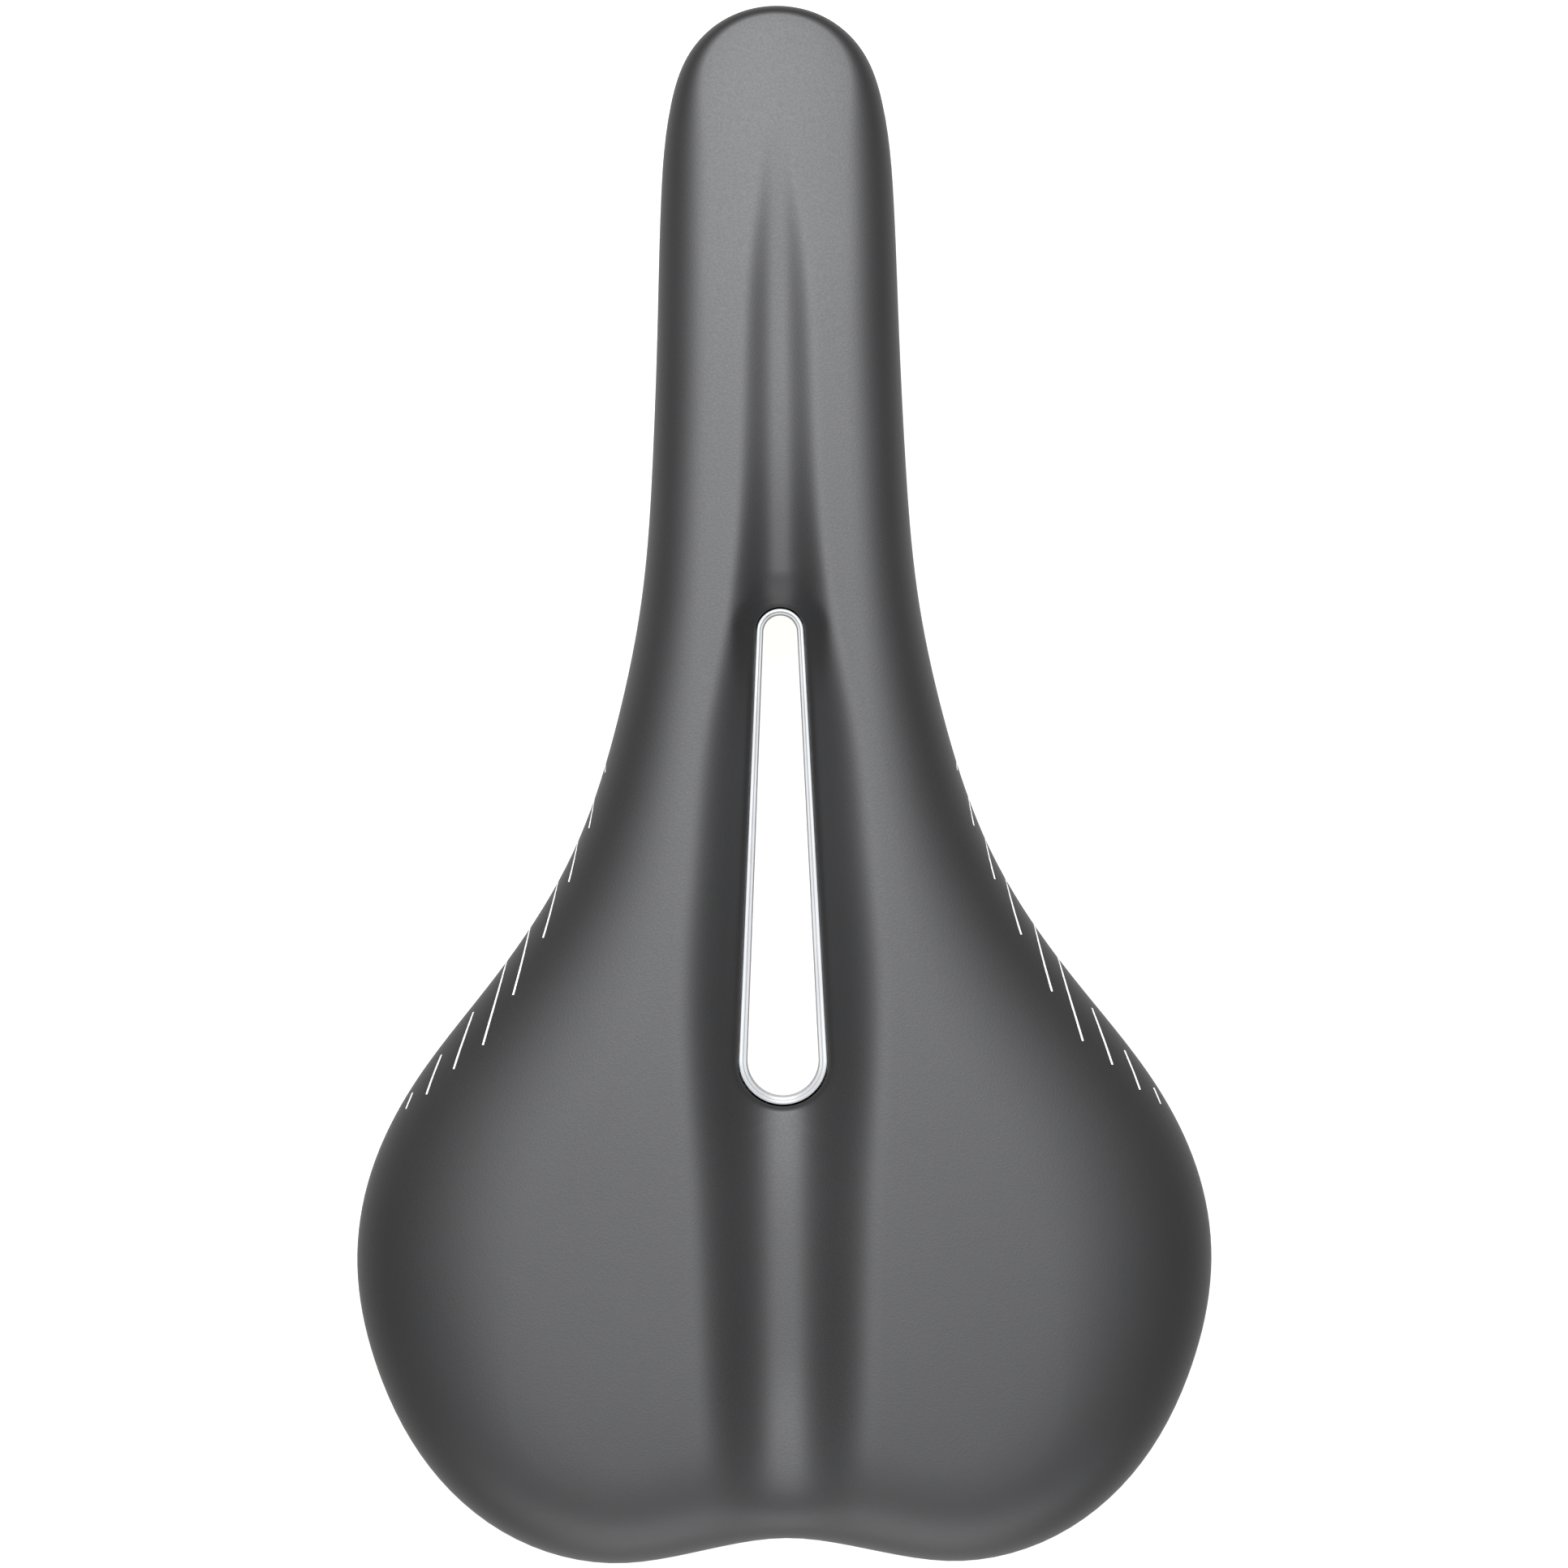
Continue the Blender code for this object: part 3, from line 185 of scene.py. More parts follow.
# Printed hairlines on each flank: where each one's line crosses the outline, the outline's nearest
# place to its rear end, and how far in it begins and ends. One that begins at 0 comes up the wall.
STRIPE_WIDTH = 0.38
STRIPE_SUNK, STRIPE_PROUD = 0.08, 0.03
STRIPE_POINTS, STRIPE_BUNCHING = 25, 2.2   # points lie closest at the widest line
STRIPES = ((133.7, 135.1, 0, 0.4), (139.8, 144.7, 0, 1.0), (147.3, 153.7, 0, 1.8),
           (154.5, 162.7, 0, 3.0), (162.7, 171.6, 0, 4.6), (168.6, 179.5, 0, 5.9),
           (175, 184.8, 0.9, 4.4), (181.1, 190.3, 1.1, 3.0), (187.9, 194, 0.7, 1.2))
STRIPE_DROP = 5.0             # down the side wall
STRIPE_WALL = 0.8             # they end above this share of the wall

# Camera and floor.
CAMERA_HEIGHT = 1600.0
VIEW_WIDTH, VIEW_LEVEL = 278.0, 31.0   # width seen, and the height at which it is seen
VIEW_MIDDLE = (0.5, 14.5)
CAMERA_ROLL = 0.38            # degrees
GLOW_NEAR, GLOW_FAR, GLOW_FADE = 1.0, 0.15, (0.2, 0.4)   # fade between these radii, in metres
FLOOR_RADIUS, FLOOR_COVE, FLOOR_WALL = 2000, 300, 500
GLOW_COLOR = (1, 0.98, 0.95, 1)
LIGHT_COLOR = (0.975, 0.98, 1.0)
WORLD_LIGHT = 0.03
# Area lights: name, place, aim, width and height in metres, watts.
LIGHTS = (("key_softbox", (-0.025, 0.25, 0.62), (0, 0.03, 0.03), 0.2, 0.28, 15),
          ("rear_fill", (0, -0.55, 0.36), (0, -0.1, 0.03), 1.2, 0.16, 6.5),
          ("rear_low", (0, -0.6, 0.09), (0, -0.12, 0.03), 0.4, 0.12, 1.5))


# ---------------------------------------------------------------- curves and heights

def ramp(value, start, end):
    """Smooth rise from 0 at start to 1 at end."""
    share = np.clip((value - start) / (end - start), 0.0, 1.0)
    return share ** 3 * (10 - 15 * share + 6 * share ** 2)


def smooth_curve(points):
    """Natural cubic spline through (place, value) pairs; a value is a number or a vector."""
    place = np.array([pair[0] for pair in points], float)
    value = np.array([pair[1] for pair in points], float)
    gap = np.diff(place)
    rise = (np.diff(value, axis=0).T / gap).T
    system = np.eye(len(place))
    right = np.zeros_like(value)
    for i in range(1, len(place) - 1):
        system[i, i - 1:i + 2] = gap[i - 1], 2 * (gap[i - 1] + gap[i]), gap[i]
        right[i] = 6 * (rise[i] - rise[i - 1])
    bend = np.linalg.solve(system, right)

    def at(where):
        where = np.asarray(where, float)
        i = np.clip(np.searchsorted(place, where) - 1, 0, len(gap) - 1)
        before, after, width = where - place[i], place[i + 1] - where, gap[i]
        if value.ndim > 1:
            before, after, width = before[..., None], after[..., None], width[..., None]
        line = (value[i] * after + value[i + 1] * before) / width
        sag = bend[i] * (after ** 3 / width - after * width)
        sag = sag + bend[i + 1] * (before ** 3 / width - before * width)
        return line + sag / 6

    return at


def profile(points):
    """Smooth value along the saddle, held constant past both ends."""
    curve = smooth_curve(points)
    first, last = points[0][0], points[-1][0]
    return lambda back: curve(np.clip(back, first, last))


seat_top, crown = profile(SEAT_TOP), profile(CROWN)
edge_width, edge_drop = profile(EDGE_WIDTH), profile(EDGE_DROP)
edge_power = profile(EDGE_POWER)
skirt_end, foam = profile(SKIRT_END), profile(FOAM)
shell_edge_width = profile(SHELL_EDGE_WIDTH)
groove_width, groove_depth = profile(GROOVE_WIDTH), profile(GROOVE_DEPTH)


def make_outline():
    """Plan outline as a function: 0 at the nose tip, 1 at the tail centre, mirrored past both."""
    right = [np.array(point, float) for point in OUTLINE]
    flip = np.array((-1.0, 1.0))
    before = [flip * point for point in right[4:0:-1]]
    after = [flip * point for point in right[-2:-6:-1]]
    points = before + right + after
    steps = [np.linalg.norm(b - a) for a, b in zip(points, points[1:])]
    length = np.concatenate(([0.0], np.cumsum(steps)))
    start = length[len(before)]
    span = length[len(before) + len(right) - 1] - start
    return smooth_curve([((place - start) / span, point) for place, point in zip(length, points)])


outline = make_outline()
EDGE_START, EDGE_END = -0.08, 1.08
SHARE_STEP = 0.0005
EDGE_SHARES = np.linspace(EDGE_START, EDGE_END, 901)
EDGE_POINTS = outline(EDGE_SHARES)


def outline_share(back):
    """Place on the outline where the right flank is this far back."""
    inside = (EDGE_SHARES >= 0) & (EDGE_SHARES <= 0.85)
    return float(np.interp(back, EDGE_POINTS[inside, 1], EDGE_SHARES[inside]))


def outline_normal(share):
    along = outline(share + SHARE_STEP) - outline(share - SHARE_STEP)
    return np.array((along[1], -along[0])) / np.linalg.norm(along)


def edge_distance(points):
    """Shortest plan distance from each point to the outline."""
    points = np.abs(points) * (1, 0) + points * (0, 1)
    start, along = EDGE_POINTS[:-1], np.diff(EDGE_POINTS, axis=0)
    from_start = points[:, None, :] - start
    share = np.sum(from_start * along, axis=2) / np.sum(along * along, axis=1)
    apart = from_start - along * np.clip(share, 0, 1)[..., None]
    return np.sqrt(np.min(np.sum(apart * apart, axis=2), axis=1))


def lip_drop(x, back):
    """Extra roll of the cover towards the front end of the cut-out."""
    away = np.hypot(x, np.minimum(back - CUTOUT_FRONT, 0)) - CUTOUT_FRONT_RADIUS
    return LIP_DROP * (1 - ramp(away, 0, LIP_REACH)) * (1 - ramp(back, *LIP_END))


def seat_height(points, inset=None):
    """Top of the cover: crown, groove and rounded edge."""
    x, back = points[:, 0], points[:, 1]
    inset = edge_distance(points) if inset is None else inset
    groove = groove_depth(back) * (1 - ramp(abs(x), 0, groove_width(back)))
    share = np.maximum(0.0, 1 - inset / edge_width(back))
    power = edge_power(back)
    rounding = edge_drop(back) * (1 - (1 - share ** power) ** (1 / power))
    return seat_top(back) - crown(back) * x * x - groove - rounding - lip_drop(x, back)


def seat_height_at(point):
    return float(seat_height(point[None, :])[0])


def shell_height(points, inset=None):
    """Upper face of the base: smooth under the foam, turned down to its rim."""
    x, back = points[:, 0], points[:, 1]
    inset = edge_distance(points) if inset is None else inset
    share = np.maximum(0.0, 1 - (inset - SHELL_INSET) / shell_edge_width(back))
    flat = seat_top(back) - crown(back) * x * x - foam(back)
    rim = skirt_end(back) + SHELL_RISE
    return flat + (rim - flat) * share ** SHELL_EDGE_POWER


def shell_height_at(x, back):
    return float(shell_height(np.array([(x, back)], float))[0])


def cutout_point(turn, offset=0.0):
    """Cut-out edge, right half: 0-1 front arc, 1-2 straight side, 2-3 rear arc."""
    lean = math.asin((CUTOUT_REAR_RADIUS - CUTOUT_FRONT_RADIUS) / (CUTOUT_REAR - CUTOUT_FRONT))
    side = math.pi / 2 - lean
    front, rear = CUTOUT_FRONT_RADIUS + offset, CUTOUT_REAR_RADIUS + offset

    def on_circle(middle, radius, angle):
        return np.array((radius * math.sin(angle), middle - radius * math.cos(angle)))

    if turn <= 1:
        return on_circle(CUTOUT_FRONT, front, side * turn)
    if turn >= 2:
        return on_circle(CUTOUT_REAR, rear, side + (math.pi - side) * (turn - 2))
    start, end = on_circle(CUTOUT_FRONT, front, side), on_circle(CUTOUT_REAR, rear, side)
    return start + (end - start) * (turn - 1)


# ---------------------------------------------------------------- sections across the saddle

class Station:
    """One section: its zone, its point on the outline and the outward direction there."""

    def __init__(self, zone, fraction, share):
        self.zone, self.fraction, self.share = zone, fraction, share
        self.edge, self.normal = outline(share), outline_normal(share)
        if share in (0.0, 1.0):
            self.edge[0] = 0.0
            self.normal = np.array((0.0, np.sign(self.normal[1])))
        self.back = float(self.edge[1])
        self.cutout_turn = None
        turns = {"cutout_front": 0, "cutout_side": 1, "cutout_rear": 2}
        if zone in turns:
            self.cutout_turn = turns[zone] + fraction
        elif zone == "rear" and fraction == 0:
            self.cutout_turn = 3.0

    def inner(self, offset):
        """Where the section starts: on the middle line, or outside the cut-out by offset."""
        if self.cutout_turn is not None:
            return cutout_point(self.cutout_turn, offset)
        front_end = CUTOUT_FRONT - CUTOUT_FRONT_RADIUS - offset
        rear_end = CUTOUT_REAR + CUTOUT_REAR_RADIUS + offset
        start, end = {"nose": (NOSE_FAN, NOSE_FAN_END), "front": (NOSE_FAN_END, front_end),
                      "rear": (rear_end, TAIL_FAN), "tail": (TAIL_FAN, TAIL_FAN_END)}[self.zone]
        return np.array((0.0, start + (end - start) * self.fraction))

    def at(self, inset):
        """Plan point this far in from the outline."""
        return self.edge - self.normal * inset


def make_stations():
    found, start = [], 0.0
    for zone, back, rows in ZONES:
        end = 1.0 if back is None else outline_share(back)
        steps = rows * DETAIL
        for i in range(steps):
            found.append(Station(zone, i / steps, start + (end - start) * i / steps))
        start = end
    found.append(Station("tail", 1.0, 1.0))
    return found


STATIONS = make_stations()
CUTOUT_STATIONS = [station for station in STATIONS if station.cutout_turn is not None]


def plan_line(start, end, normal, stops):
    """Plan points at given shares of a line that meets the edge squarely."""
    control = end - normal * np.linalg.norm(end - start) * 0.5
    t = np.linspace(0, 1, 81)[:, None]
    line = (1 - t) ** 2 * start + 2 * t * (1 - t) * control + t ** 2 * end
    lengths = np.concatenate(([0.0], np.cumsum(np.linalg.norm(np.diff(line, axis=0), axis=1))))
    wanted = np.asarray(stops) * lengths[-1]
    return np.stack((np.interp(wanted, lengths, line[:, 0]),
                     np.interp(wanted, lengths, line[:, 1])), axis=1)


def lift(points, height):
    """Plan points and their heights, in world axes."""
    points = np.atleast_2d(points)
    height = np.broadcast_to(height, len(points))
    return np.stack((points[:, 0], NOSE_TO_CLAMP - points[:, 1], height), axis=1)


def seat_section(station, offset):
    """Cover surface from the groove or cut-out to the widest line."""
    start = station.inner(offset)
    length = np.linalg.norm(station.edge - start)
    groove = min(max(groove_width(start[1]) - start[0], 3.0), 0.4 * length)
    flat_end = length - min(edge_width(station.back), 0.5 * length)
    round_edge = np.sin(np.linspace(0, math.pi / 2, 17))
    stops = np.concatenate((np.linspace(0, groove, 15), np.linspace(groove, flat_end, 8)[1:-1],
                            flat_end + (length - flat_end) * round_edge)) / length
    points = plan_line(start, station.edge, station.normal, stops)
    inset = edge_distance(points)
    inset[-1] = 0.0
    return lift(points, seat_height(points, inset))


def edge_height(station):
    """Height of the cover at its widest line."""
    return float(seat_height(station.edge[None, :], np.zeros(1))[0])


def wall_height(station):
    """Height of the side wall under the widest line."""
    return edge_height(station) - skirt_end(station.back) - SKIRT_LIFT


def skirt_section(station, shares):
    """Side wall from the widest line down, leaning in towards its end."""
    shares = np.asarray(shares)[:, None]
    points = station.edge - station.normal * SKIRT_TUCK * shares ** 2
    return lift(points, edge_height(station) - wall_height(station) * shares[:, 0])


def shell_at(station, inset):
    return float(shell_height(station.at(inset)[None, :], np.array([inset]))[0])


def below_shell(station, inset, depth):
    """Point a given depth square below the base's upper face, near the rim."""
    step = 0.05
    slope = (shell_at(station, inset + step) - shell_at(station, inset - step)) / (2 * step)
    tilt = math.atan(slope)
    place = station.at(inset + depth * math.sin(tilt))
    return lift(place, shell_at(station, inset) - depth * math.cos(tilt))[0], tilt


def flange_section(station):
    """The cover's turn under the rim and its puckered flange inside the base."""
    depth = SHELL + FLANGE_GAP + COVER
    _, tilt = below_shell(station, SHELL_INSET, depth)
    low = skirt_end(station.back) + TURN_RISE
    inner = SHELL_INSET + depth * math.sin(tilt) - TURN_INSET
    corners = [skirt_section(station, (1,))[0], lift(station.at(SKIRT_TUCK + 0.2), low)[0],
               lift(station.at(inner), low)[0]]
    run = FLANGE * math.cos(tilt)
    last, _ = below_shell(station, SHELL_INSET + run, depth)
    corners.append(last)
    turn = rounded_path(corners, (TURN_RADIUS, TURN_RADIUS), arc_steps=6)
    turn = np.array([tuple(point) for point in turn])
    up = np.linspace(0, 1, 9)[1:]
    flange = []
    for share in up:
        place, _ = below_shell(station, SHELL_INSET + run * share, depth)
        wave = math.sin(2 * math.pi * station.share * OUTLINE_LENGTH / PUCKER_PITCH)
        flange.append(place - np.array((0, 0, FLANGE_PUCKER * share * (1 + wave))))
    return np.concatenate((turn[1:-1], np.array(flange)))


SAMPLED_LENGTH = float(np.sum(np.linalg.norm(np.diff(EDGE_POINTS, axis=0), axis=1)))
OUTLINE_LENGTH = SAMPLED_LENGTH / (EDGE_END - EDGE_START)


def shell_section(station, offset):
    """Upper face of the base from its opening or the middle line to its rim."""
    start, end = station.inner(offset), station.at(SHELL_INSET)
    length = np.linalg.norm(end - start)
    flat_end = length - min(shell_edge_width(station.back), 0.5 * length)
    round_edge = np.sqrt(np.linspace(0, 1, 12))
    stops = np.concatenate((np.linspace(0, flat_end, 12)[:-1],
                            flat_end + (length - flat_end) * round_edge)) / length
    points = plan_line(start, end, station.normal, stops)
    inset = edge_distance(points)
    inset[-1] = SHELL_INSET
    return lift(points, shell_height(points, inset))


# ---------------------------------------------------------------- mesh helpers

def add_grid(mesh, rows, flip=False):
    """Quads between rows of points; their normals face up for rows that run outwards."""
    corners = [[mesh.verts.new(Vector(point) * MM) for point in row] for row in rows]
    for near, far in zip(corners, corners[1:]):
        for i in range(len(near) - 1):
            face = (near[i], far[i], far[i + 1], near[i + 1])
            mesh.faces.new(face[::-1] if flip else face)


CUTTERS = []


def to_object(name, mesh, material):
    data = bpy.data.meshes.new(name)
    mesh.to_mesh(data)
    mesh.free()
    data.materials.append(material)
    return link(name, data)


def link(name, data, place=None):
    item = bpy.data.objects.new(name, data)
    if place is not None:
        item.matrix_world = place
    bpy.context.scene.collection.objects.link(item)
    return item


def offset_grid(rows, distance):
    """Move a half surface square to itself; points on the middle plane stay on it."""
    mesh = bmesh.new()
    add_grid(mesh, rows)
    mesh.normal_update()
    normals = np.array([vertex.normal for vertex in mesh.verts])
    mesh.free()
    points = np.array(rows).reshape(-1, 3)
    middle = np.abs(points[:, 0]) < 1e-6
    normals[middle, 0] = 0.0
    normals /= np.linalg.norm(normals, axis=1)[:, None]
    return (points + normals * distance).reshape(np.array(rows).shape)


def weld(mesh):
    bmesh.ops.remove_doubles(mesh, verts=mesh.verts, dist=1e-6)


def direction_at(points, i):
    """Direction of a line of points, from the one before to the one after."""
    return points[min(i + 1, len(points) - 1)] - points[max(i - 1, 0)]


def add_rings(mesh, rings):
    """Skin between closed rings of points."""
    add_grid(mesh, [ring + ring[:1] for ring in rings])


def close_ends(mesh):
    """Weld, fill the open ends and turn every face outwards."""
    weld(mesh)
    bmesh.ops.holes_fill(mesh, edges=[edge for edge in mesh.edges if edge.is_boundary])
    bmesh.ops.recalc_face_normals(mesh, faces=mesh.faces)


def close_middle(mesh):
    """Weld, and put points of the middle line exactly on it."""
    weld(mesh)
    for vertex in mesh.verts:
        if abs(vertex.co.x) < 1e-6:
            vertex.co.x = 0.0


def add_mirror(item):
    mirror = item.modifiers.new("other_half", "MIRROR")
    mirror.use_clip = True
    mirror.merge_threshold = 0.00005


def add_thickness(item, thickness):
    solid = item.modifiers.new("thickness", "SOLIDIFY")
    solid.thickness = thickness * MM
    solid.offset = -1


def add_bevel(item, width, segments=3, angle=40):
    bevel = item.modifiers.new("rounded_edges", "BEVEL")
    bevel.width = width * MM
    bevel.segments = segments
    bevel.limit_method = "ANGLE"
    bevel.angle_limit = math.radians(angle)


def add_boolean(item, other, operation="DIFFERENCE"):
    cut = item.modifiers.new(other.name, "BOOLEAN")
    cut.operation = operation
    cut.object = other
    cut.solver = "EXACT"
    CUTTERS.append(other)


def evaluated_mesh(item):
    bpy.context.view_layer.update()
    graph = bpy.context.evaluated_depsgraph_get()
    return bpy.data.meshes.new_from_object(item.evaluated_get(graph))


def settle(item, angle=35):
    """Replace an object by its evaluated mesh, welded and shaded smooth."""
    data = evaluated_mesh(item)
    mesh = bmesh.new()
    mesh.from_mesh(data)
    weld(mesh)
    mesh.to_mesh(data)
    mesh.free()
    shade_round(data, angle)
    name, place = item.name, item.matrix_world.copy()
    bpy.data.objects.remove(item, do_unlink=True)
    return link(name, data, place)


def remove_cutters():
    for item in CUTTERS:
        bpy.data.objects.remove(item, do_unlink=True)
    CUTTERS.clear()


def shade_round(data, angle=35):
    data.shade_smooth()
    data.set_sharp_from_angle(angle=math.radians(angle))


def mirrored_copy(item, name):
    """The same piece on the other side, as an object of its own."""
    data = item.data.copy()
    data.transform(Matrix.Scale(-1, 4, (1, 0, 0)) @ item.matrix_world)
    data.flip_normals()
    return link(name, data)


def make_curve(name, points, material, closed=False):
    data = bpy.data.curves.new(name, "CURVE")
    spline = data.splines.new("POLY")
    spline.points.add(len(points) - 1)
    for target, point in zip(spline.points, points):
        target.co = (*(Vector(point) * MM), 1)
    spline.use_cyclic_u = closed
    data.materials.append(material)
    return link(name, data)


def make_tube(name, points, radius, material):
    item = make_curve(name, points, material)
    item.data.dimensions = "3D"
    item.data.twist_mode = "Z_UP"
    item.data.use_fill_caps = True
    item.data.bevel_resolution = 14
    item.data.bevel_depth = radius * MM
    return settle(item)


def make_plate(name, points, thickness, material, place, edge=0.0):
    """Flat outline in its own XY plane, thickened both ways, with its rims rounded by edge."""
    item = make_curve(name, [(x, y, 0) for x, y in points], material, closed=True)
    item.data.dimensions = "2D"
    item.data.fill_mode = "BOTH"
    item.data.extrude = thickness / 2 * MM
    item.matrix_world = place
    plate = settle(item)
    if edge:
        add_bevel(plate, edge)
        plate = settle(plate)
    return plate


def make_turned(name, points, material, steps=48):
    """Turned solid about Z from (radius, height) points, top to bottom."""
    mesh = bmesh.new()
    corners = [mesh.verts.new((radius * MM, 0, height * MM)) for radius, height in points]
    for a, b in zip(corners, corners[1:]):
        mesh.edges.new((a, b))
    item = to_object(name, mesh, material)
    turn = item.modifiers.new("turned", "SCREW")
    turn.steps = turn.render_steps = steps
    turn.use_merge_vertices = True
    turn.merge_threshold = 0.00001
    return item


def make_posts(name, posts, material, sides=32):
    """Upright round posts in one mesh, each given by radius, bottom, top and plan place."""
    mesh = bmesh.new()
    for radius, bottom, top, (x, y) in posts:
        middle = Matrix.Translation(Vector((x, y, (bottom + top) / 2)) * MM)
        bmesh.ops.create_cone(mesh, cap_ends=True, segments=sides, radius1=radius * MM,
                              radius2=radius * MM, depth=(top - bottom) * MM, matrix=middle)
    return to_object(name, mesh, material)


def rounded_path(corners, radii, arc_steps=None, step=1.2):
    """Straight runs between corners, joined by arcs of the given radii."""
    points = [Vector(corners[0])]
    for before, corner, after, radius in zip(corners, corners[1:], corners[2:], radii):
        corner = Vector(corner)
        come = (corner - Vector(before)).normalized()
        leave = (Vector(after) - corner).normalized()
        turn = come.angle(leave)
        start = corner - come * radius * math.tan(turn / 2)
        centre = start + (leave - come * come.dot(leave)).normalized() * radius
        count = arc_steps or max(2, round(radius * turn / step))
        axis = come.cross(leave)
        for i in range(count + 1):
            points.append(centre + Matrix.Rotation(turn * i / count, 3, axis) @ (start - centre))
    points.append(Vector(corners[-1]))
    return points


# ---------------------------------------------------------------- materials

class Look:
    """A Principled material, with short calls that add texture nodes to it."""

    def __init__(self, name, color, roughness, metallic=0.0, **sockets):
        self.material = bpy.data.materials.new(name)
        self.material.use_nodes = True
        self.nodes = self.material.node_tree.nodes
        self.links = self.material.node_tree.links
        self.shader = self.nodes["Principled BSDF"]
        self.shader.inputs["Base Color"].default_value = (*color, 1)
        self.shader.inputs["Roughness"].default_value = roughness
        self.shader.inputs["Metallic"].default_value = metallic
        for socket, value in sockets.items():
            self.shader.inputs[socket.replace("_", " ")].default_value = value
        self.place = self.nodes.new("ShaderNodeTexCoord").outputs["Object"]

    def stretched(self, scale):
        """Object coordinates scaled per axis, in features per metre."""
        mapping = self.nodes.new("ShaderNodeMapping")
        mapping.inputs["Scale"].default_value = scale
        self.links.new(self.place, mapping.inputs["Vector"])
        return mapping.outputs["Vector"]

    def noise(self, scale, detail=3.0, stretch=(1, 1, 1), rough=0.55):
        texture = self.nodes.new("ShaderNodeTexNoise")
        texture.inputs["Scale"].default_value = scale
        texture.inputs["Detail"].default_value = detail
        texture.inputs["Roughness"].default_value = rough
        self.links.new(self.stretched(stretch), texture.inputs["Vector"])
        return texture.outputs["Fac"]

    def cells(self, scale, feature="F1"):
        texture = self.nodes.new("ShaderNodeTexVoronoi")
        texture.feature = feature
        texture.inputs["Scale"].default_value = scale
        self.links.new(self.place, texture.inputs["Vector"])
        return texture.outputs["Distance"]

    def spread(self, value, low, high, start=0.3, end=0.7):
        """Map a texture's start-end range to low-high."""
        change = self.nodes.new("ShaderNodeMapRange")
        change.inputs["From Min"].default_value = start
        change.inputs["From Max"].default_value = end
        change.inputs["To Min"].default_value = low
        change.inputs["To Max"].default_value = high
        self.links.new(value, change.inputs["Value"])
        return change.outputs["Result"]

    def blend_color(self, factor, first, second):
        mix = self.nodes.new("ShaderNodeMix")
        mix.data_type = "RGBA"
        for socket in mix.inputs:
            if socket.type == "RGBA" and socket.name in ("A", "B"):
                socket.default_value = (*(first if socket.name == "A" else second), 1)
        self.links.new(factor, mix.inputs["Factor"])
        output = [socket for socket in mix.outputs if socket.type == "RGBA"][0]
        self.links.new(output, self.shader.inputs["Base Color"])

    def roughness(self, value):
        self.links.new(value, self.shader.inputs["Roughness"])

    def bump(self, *layers):
        """Stack bump layers, each (height, strength, depth in millimetres)."""
        normal = None
        for height, strength, depth in layers:
            bump = self.nodes.new("ShaderNodeBump")
            bump.inputs["Strength"].default_value = strength
            bump.inputs["Distance"].default_value = depth * MM
            self.links.new(height, bump.inputs["Height"])
            if normal is not None:
                self.links.new(normal, bump.inputs["Normal"])
            normal = bump.outputs["Normal"]
        self.links.new(normal, self.shader.inputs["Normal"])


def synthetic_cover():
    """Matt black synthetic leather: a fine pebbled grain over a soft overall variation."""
    look = Look("synthetic_cover", (0.007, 0.007, 0.0072), 0.58, Specular_IOR_Level=0.4)
    look.blend_color(look.spread(look.noise(55, 4), 0, 1), (0.0066, 0.0066, 0.0068),
                     (0.0075, 0.0075, 0.0078))
    look.roughness(look.spread(look.noise(2400, 3), 0.56, 0.6))
    look.bump((look.cells(2600), 0.2, 0.04), (look.noise(5200, 2), 0.25, 0.03))
    return look.material


def open_foam():
    """Grey moulded polyurethane foam with fine open cells."""
    look = Look("open_foam", (0.25, 0.25, 0.26), 0.95)
    look.blend_color(look.spread(look.cells(1500), 0, 1, 0.1, 0.7), (0.16, 0.16, 0.17),
                     (0.3, 0.3, 0.31))
    look.bump((look.cells(1500), 0.8, 0.3), (look.noise(400, 3), 0.4, 0.4))
    return look.material


def moulded_nylon(name, shade, roughness):
    """Black glass-filled nylon: spark-eroded grain and faint flow streaks."""
    look = Look(name, shade, roughness)
    darker = tuple(0.8 * channel for channel in shade)
    paler = tuple(1.35 * channel for channel in shade)
    look.blend_color(look.spread(look.noise(60, 5, stretch=(1, 0.35, 1)), 0, 1), darker, paler)
    look.roughness(look.spread(look.noise(1200, 3), roughness - 0.07, roughness + 0.09))
    look.bump((look.noise(2800, 3), 0.35, 0.05), (look.noise(120, 2, stretch=(1, 0.3, 1)), 0.1, 0.1))
    return look.material


def pale_plastic():
    """Pale grey, satin moulded plastic."""
    look = Look("pale_plastic", (0.21, 0.215, 0.218), 0.5)
    look.blend_color(look.spread(look.noise(90, 3), 0, 1), (0.2, 0.205, 0.208), (0.22, 0.225, 0.228))
    look.roughness(look.spread(look.noise(700, 3), 0.45, 0.55))
    look.bump((look.noise(1500, 2), 0.15, 0.03))
    return look.material


def satin_steel():
    """Rail steel, polished along its length, with fine drawn lines."""
    look = Look("satin_steel", (0.56, 0.56, 0.57), 0.3, 1.0)
    drawn = look.noise(2600, 3, stretch=(1, 0.04, 1))
    look.blend_color(look.spread(look.noise(45, 4), 0, 1), (0.5, 0.5, 0.51), (0.6, 0.6, 0.61))
    look.roughness(look.spread(drawn, 0.24, 0.4))
    look.bump((drawn, 0.2, 0.02))
    return look.material


def plated_steel(name, color, roughness):
    """Zinc-plated fasteners with a slight blotchy passivation."""
    look = Look(name, color, roughness, 1.0)
    duller = tuple(0.82 * channel for channel in color)
    look.blend_color(look.spread(look.noise(420, 4), 0, 1), duller, color)
    look.roughness(look.spread(look.noise(1800, 3), roughness - 0.08, roughness + 0.12))
    look.bump((look.noise(3200, 2), 0.2, 0.02))
    return look.material


